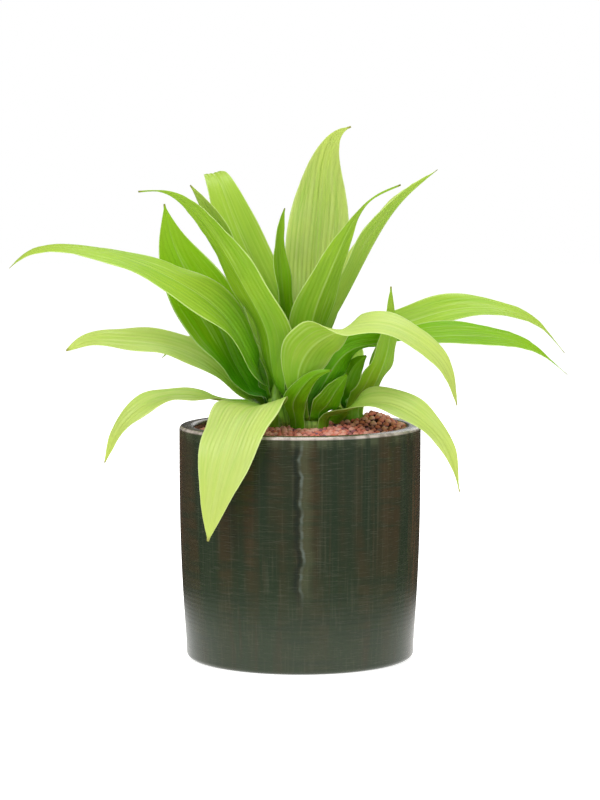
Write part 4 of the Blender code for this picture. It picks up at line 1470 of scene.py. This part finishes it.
@dataclass
class GranuleBed:
    """The mounded bed of clay granules; lengths in metres.

    Large grains lie close together, and small ones fill in between them.
    """

    level: float = 0.2115
    edge_drop: float = 0.0045
    flat_radius: float = 0.045
    edge_width: float = 0.045
    mound_rise: float = 0.0155
    mound_centre: tuple = (0.067, 0.013)
    mound_spread: float = 0.019
    hole_margin: float = 0.002
    radius: float = 0.0965
    under: float = 0.0048
    floor: float = 0.1928
    spacing: float = 0.0050
    grain: float = 0.0059
    lift: float = 0.0021
    filler_spacing: float = 0.0042
    filler: float = 0.0037
    filler_lift: float = 0.0
    grain_spread: float = 0.0011
    seed: int = 7
    rings: int = 44
    steps: int = 144

    LAYERS = (("Spacing", "Grain size", "Lift", 2, 0.0),
              ("Filler spacing", "Filler size", "Filler lift", 1, 11.0))
    SHAPE_SEED = 3
    TURN_SEED = 5
    DENSEST = 400000.0
    FLATTEST = (0.88, 0.88, 0.82)
    ROUNDEST = (1.14, 1.14, 1.05)
    LUMP_SCALE = 2.2
    LUMP_DEPTH = 0.26
    TOP_SLOPE = 0.4
    # Grains keep a shade of at least this, above the level under which the bed is painted near-black as
    # shade.
    LEAST_SHADE = 0.06

    def surface_height(self, x: float, y: float) -> float:
        """Height of the grains' tops, heaped at the back right and kept below the leaves.

        Args:
            x: Place to the right of the pot's axis.
            y: Place behind it.

        Returns:
            The height.
        """
        reach = smooth_step((math.hypot(x, y) - self.flat_radius) / self.edge_width)
        level = self.level - self.edge_drop * reach
        away = math.hypot(x - self.mound_centre[0], y - self.mound_centre[1]) / self.mound_spread
        level += self.mound_rise * math.exp(-away * away / 2)
        shoot = SHOOTS[Tuft.RIGHT]
        clear = math.hypot(x - shoot.x, y - shoot.y) - shoot.radius - self.hole_margin
        return min(level, shoot.seat_z + max(0.0, clear))

    def bed(self, material: bpy.types.Material) -> bpy.types.Object:
        """Make the closed bed that the top grains lie on; its finish paints it near-black as shade
        between the grains.

        Args:
            material: The granules' finish.

        Returns:
            The bed.
        """
        verts = [(0.0, 0.0, self.surface_height(0.0, 0.0) - self.under)]
        for i in range(1, self.rings + 1):
            r = self.radius * i / self.rings
            for k in range(self.steps):
                angle = 2 * math.pi * k / self.steps
                x, y = r * math.cos(angle), r * math.sin(angle)
                verts.append((x, y, self.surface_height(x, y) - self.under))
        faces = [(0, 1 + k, 1 + (k + 1) % self.steps) for k in range(self.steps)]
        for i in range(self.rings - 1):
            for k in range(self.steps):
                a = 1 + i * self.steps + k
                b = 1 + i * self.steps + (k + 1) % self.steps
                faces.append((a, a + self.steps, b + self.steps, b))
        top_edge = 1 + (self.rings - 1) * self.steps
        low_edge = len(verts)
        verts += [(v[0], v[1], self.floor) for v in verts[top_edge:]]
        verts.append((0.0, 0.0, self.floor))
        for k in range(self.steps):
            b = (k + 1) % self.steps
            faces.append((top_edge + k, low_edge + k, low_edge + b, top_edge + b))
            faces.append((low_edge + k, len(verts) - 1, low_edge + b))
        return mesh_object("granule_base", np.array(verts), faces, material)

    def sizes(self) -> dict:
        """The scatter tree's named inputs."""
        return {"Spacing": self.spacing, "Grain size": self.grain, "Lift": self.lift,
                "Filler spacing": self.filler_spacing, "Filler size": self.filler,
                "Filler lift": self.filler_lift, "Size spread": self.grain_spread, "Seed": self.seed}

    def scatter(self, material: bpy.types.Material) -> bpy.types.NodeTree:
        """Lay the layers of grains on the bed, by Geometry Nodes.

        Args:
            material: The granules' finish.

        Returns:
            The tree.
        """
        kinds = {name: "Int" if isinstance(size, int) else "Float" for name, size in self.sizes().items()}
        tree, given, out = start_tree("granule_scatter", kinds)
        both = add_node(tree, "GeometryNodeJoinGeometry")
        tree.links.new(given["Geometry"], both.inputs[0])
        for spacing, size, lift, detail, salt in self.LAYERS:
            spots, seed = self.spots(tree, given, given[spacing], given[lift], salt)
            girth = self.girth(tree, given[size], given["Size spread"], seed)
            grains = add_node(tree, "GeometryNodeInstanceOnPoints",
                              {"Points": spots, "Instance": self.granule(tree, detail), "Scale": girth,
                               "Rotation": self.turns(tree)})
            tree.links.new(grains.outputs[0], both.inputs[0])
        real = add_node(tree, "GeometryNodeRealizeInstances", {0: both.outputs[0]})
        dressed = add_node(tree, "GeometryNodeSetMaterial", {0: real.outputs[0], "Material": material})
        tree.links.new(dressed.outputs[0], out.inputs[0])
        return tree

    def spots(self, tree: bpy.types.NodeTree, given: dict, spacing: bpy.types.NodeSocket,
              lift: bpy.types.NodeSocket, salt: float) -> tuple:
        """Find the places of one layer's grains on the bed's top, each with its shade.

        Args:
            tree: The node tree.
            given: The tree's named inputs.
            spacing: Least distance between grains.
            lift: How far the grains' centres stand above the bed.
            salt: Added to the seed, so that the layers differ.

        Returns:
            Sockets of the places and of the layer's seed.
        """
        seed = add_node(tree, "ShaderNodeMath", {0: given["Seed"], 1: salt}, operation="ADD").outputs[0]
        normal = add_node(tree, "GeometryNodeInputNormal").outputs[0]
        up = add_node(tree, "ShaderNodeSeparateXYZ", {0: normal}).outputs[2]
        top = add_node(tree, "ShaderNodeMath", {0: up, 1: self.TOP_SLOPE}, operation="GREATER_THAN")
        found = add_node(tree, "GeometryNodeDistributePointsOnFaces",
                         {"Mesh": given["Geometry"], "Distance Min": spacing, "Selection": top.outputs[0],
                          "Seed": seed, "Density Max": self.DENSEST}, distribute_method="POISSON")
        rise = add_node(tree, "ShaderNodeCombineXYZ", {2: lift}).outputs[0]
        raised = add_node(tree, "GeometryNodeSetPosition", {"Geometry": found.outputs[0], "Offset": rise})
        shade = add_node(tree, "FunctionNodeRandomValue", {2: self.LEAST_SHADE, 3: 1.0, "Seed": seed},
                         data_type="FLOAT")
        shaded = add_node(tree, "GeometryNodeStoreNamedAttribute",
                          {"Geometry": raised.outputs[0], "Value": shade.outputs[1],
                           "Name": "grain_shade"}, data_type="FLOAT", domain="POINT")
        return shaded.outputs[0], seed

    def granule(self, tree: bpy.types.NodeTree, detail: int) -> bpy.types.NodeSocket:
        """Make one lumpy granule, a unit across.

        Args:
            tree: The node tree.
            detail: Subdivisions of its ball.

        Returns:
            The granule's socket.
        """
        ball = add_node(tree, "GeometryNodeMeshIcoSphere", {"Radius": 0.5, "Subdivisions": detail})
        place = add_node(tree, "GeometryNodeInputPosition").outputs[0]
        lumps = add_node(tree, "ShaderNodeTexNoise",
                         {"Vector": place, "Scale": self.LUMP_SCALE, "Detail": 1.0}).outputs["Color"]
        centred = add_node(tree, "ShaderNodeVectorMath", {0: lumps, 1: (0.5, 0.5, 0.5)},
                           operation="SUBTRACT")
        lump = add_node(tree, "ShaderNodeVectorMath", {0: centred.outputs[0], "Scale": self.LUMP_DEPTH},
                        operation="SCALE")
        stone = add_node(tree, "GeometryNodeSetPosition",
                         {"Geometry": ball.outputs[0], "Offset": lump.outputs[0]})
        return add_node(tree, "GeometryNodeSetShadeSmooth", {0: stone.outputs[0]}).outputs[0]

    def girth(self, tree: bpy.types.NodeTree, size: bpy.types.NodeSocket, spread: bpy.types.NodeSocket,
              seed: bpy.types.NodeSocket) -> bpy.types.NodeSocket:
        """Draw each grain's size along its three axes.

        Args:
            tree: The node tree.
            size: Middle size of a grain.
            spread: How far a grain's size may differ from it.
            seed: The layer's seed.

        Returns:
            The sizes' socket.
        """
        small = add_node(tree, "ShaderNodeMath", {0: size, 1: spread}, operation="SUBTRACT").outputs[0]
        large = add_node(tree, "ShaderNodeMath", {0: size, 1: spread}, operation="ADD").outputs[0]
        girth = add_node(tree, "FunctionNodeRandomValue", {2: small, 3: large, "Seed": seed},
                         data_type="FLOAT")
        shape = add_node(tree, "FunctionNodeRandomValue",
                         {0: self.FLATTEST, 1: self.ROUNDEST, "Seed": self.SHAPE_SEED},
                         data_type="FLOAT_VECTOR")
        scale = add_node(tree, "ShaderNodeVectorMath", {0: shape.outputs[0], "Scale": girth.outputs[1]},
                         operation="SCALE")
        return scale.outputs[0]

    def turns(self, tree: bpy.types.NodeTree) -> bpy.types.NodeSocket:
        """Draw each grain's turn about its three axes."""
        limits = {0: (0.0, 0.0, 0.0), 1: (math.tau, math.tau, math.tau), "Seed": self.TURN_SEED}
        return add_node(tree, "FunctionNodeRandomValue", limits, data_type="FLOAT_VECTOR").outputs[0]

    def build(self) -> None:
        """Make the bed with its grains and let it stand for its CAD node."""
        clay = FiredClay().make()
        obj = grown(self.bed(clay), self.scatter(clay), self.sizes(), "clay_granules")
        place_piece(obj, "granules")


@dataclass
class GrowingMedium:
    """The peat below the granules, which keeps its CAD solid."""

    node: str = "growing_medium"

    def build(self) -> None:
        """Give the CAD node its finish."""
        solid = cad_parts[self.node]
        solid.data.materials.clear()
        solid.data.materials.append(DampPeat().make())
        LOG.info("%s keeps its CAD solid", self.node)


@dataclass(frozen=True)
class Softbox:
    """One round softbox; lengths in metres, power in watts."""

    name: str
    place: tuple
    size: float
    power: float


@dataclass
class Studio:
    """Camera, soft lights, bright surround and paper floor; lengths in metres."""

    distance: float = 2.8
    eye_height: float = 0.502
    pitch: float = 5.44
    focal_px: float = 3087.0
    frame_height_px: float = 800.0
    sensor: float = 36.0
    view_end: float = 60.0
    floor_size: float = 14.0
    aim: tuple = (0.0, 0.0, 0.24)
    soft_light: float = 0.42
    mirrored_light: float = 0.08

    SOFTBOXES = (
        Softbox("key_softbox", (-1.2, -1.6, 2.1), 1.3, 38.0),
        Softbox("fill_softbox", (1.9, -1.6, 1.2), 1.6, 15.0),
        Softbox("top_softbox", (0.2, 0.2, 2.2), 1.5, 25.0),
        Softbox("back_softbox", (0.6, 2.2, 1.3), 1.8, 15.0),
    )

    def camera(self) -> None:
        """Stand the camera where the photograph was taken from."""
        data = bpy.data.cameras.new("camera")
        data.lens = self.focal_px / self.frame_height_px * self.sensor
        data.sensor_width = self.sensor
        data.clip_end = self.view_end
        camera = bpy.data.objects.new("camera", data)
        camera.location = (0.0, -self.distance, self.eye_height)
        camera.rotation_euler = (math.radians(90 - self.pitch), 0.0, 0.0)
        bpy.context.scene.collection.objects.link(camera)
        bpy.context.scene.camera = camera

    def lamps(self) -> None:
        """Hang the softboxes, each facing the plant."""
        for box in self.SOFTBOXES:
            data = bpy.data.lights.new(box.name, "AREA")
            data.shape = "DISK"
            data.size = box.size
            data.energy = box.power
            lamp = bpy.data.objects.new(box.name, data)
            lamp.location = box.place
            lamp.rotation_mode = "QUATERNION"
            lamp.rotation_quaternion = (Vector(self.aim) - Vector(box.place)).to_track_quat("-Z", "Y")
            bpy.context.scene.collection.objects.link(lamp)

    def surround(self) -> None:
        """White to the camera, a softer white as light, and nearly dark to a mirror."""
        world = bpy.data.worlds.new("surround")
        world.use_nodes = True
        tree = world.node_tree
        tree.nodes.clear()
        out = add_node(tree, "ShaderNodeOutputWorld")
        rays = add_node(tree, "ShaderNodeLightPath").outputs
        soft, dim, white = (add_node(tree, "ShaderNodeBackground", {0: WHITE, 1: strength}).outputs[0]
                            for strength in (self.soft_light, self.mirrored_light, 1.0))
        lit = add_node(tree, "ShaderNodeMixShader", {0: rays["Is Glossy Ray"], 1: soft, 2: dim})
        mixed = add_node(tree, "ShaderNodeMixShader",
                         {0: rays["Is Camera Ray"], 1: lit.outputs[0], 2: white})
        tree.links.new(mixed.outputs[0], out.inputs[0])
        bpy.context.scene.world = world
        bpy.context.scene.view_settings.view_transform = "Standard"

    def floor(self) -> None:
        """Lay the paper that the pot stands on."""
        corners = np.array([(-1, -1, 0), (1, -1, 0), (1, 1, 0), (-1, 1, 0)]) * self.floor_size / 2
        paper = mesh_object("paper_floor", corners, [(0, 1, 2, 3)], SeamlessPaper().make())

    def build(self) -> None:
        """Set up everything round the plant."""
        self.camera()
        self.lamps()
        self.surround()
        self.floor()


def main() -> None:
    """Build the studio and the plant in order, and report each piece."""
    logging.basicConfig(level=logging.INFO, format="%(name)s: %(message)s")
    Studio().build()
    Pot().build()
    GrowingMedium().build()
    GranuleBed().build()
    skin = SheathedStem().make()
    for tuft in Tuft:
        Stem(tuft).build(skin)
    Foliage().build()


if __name__ == "__main__":
    main()
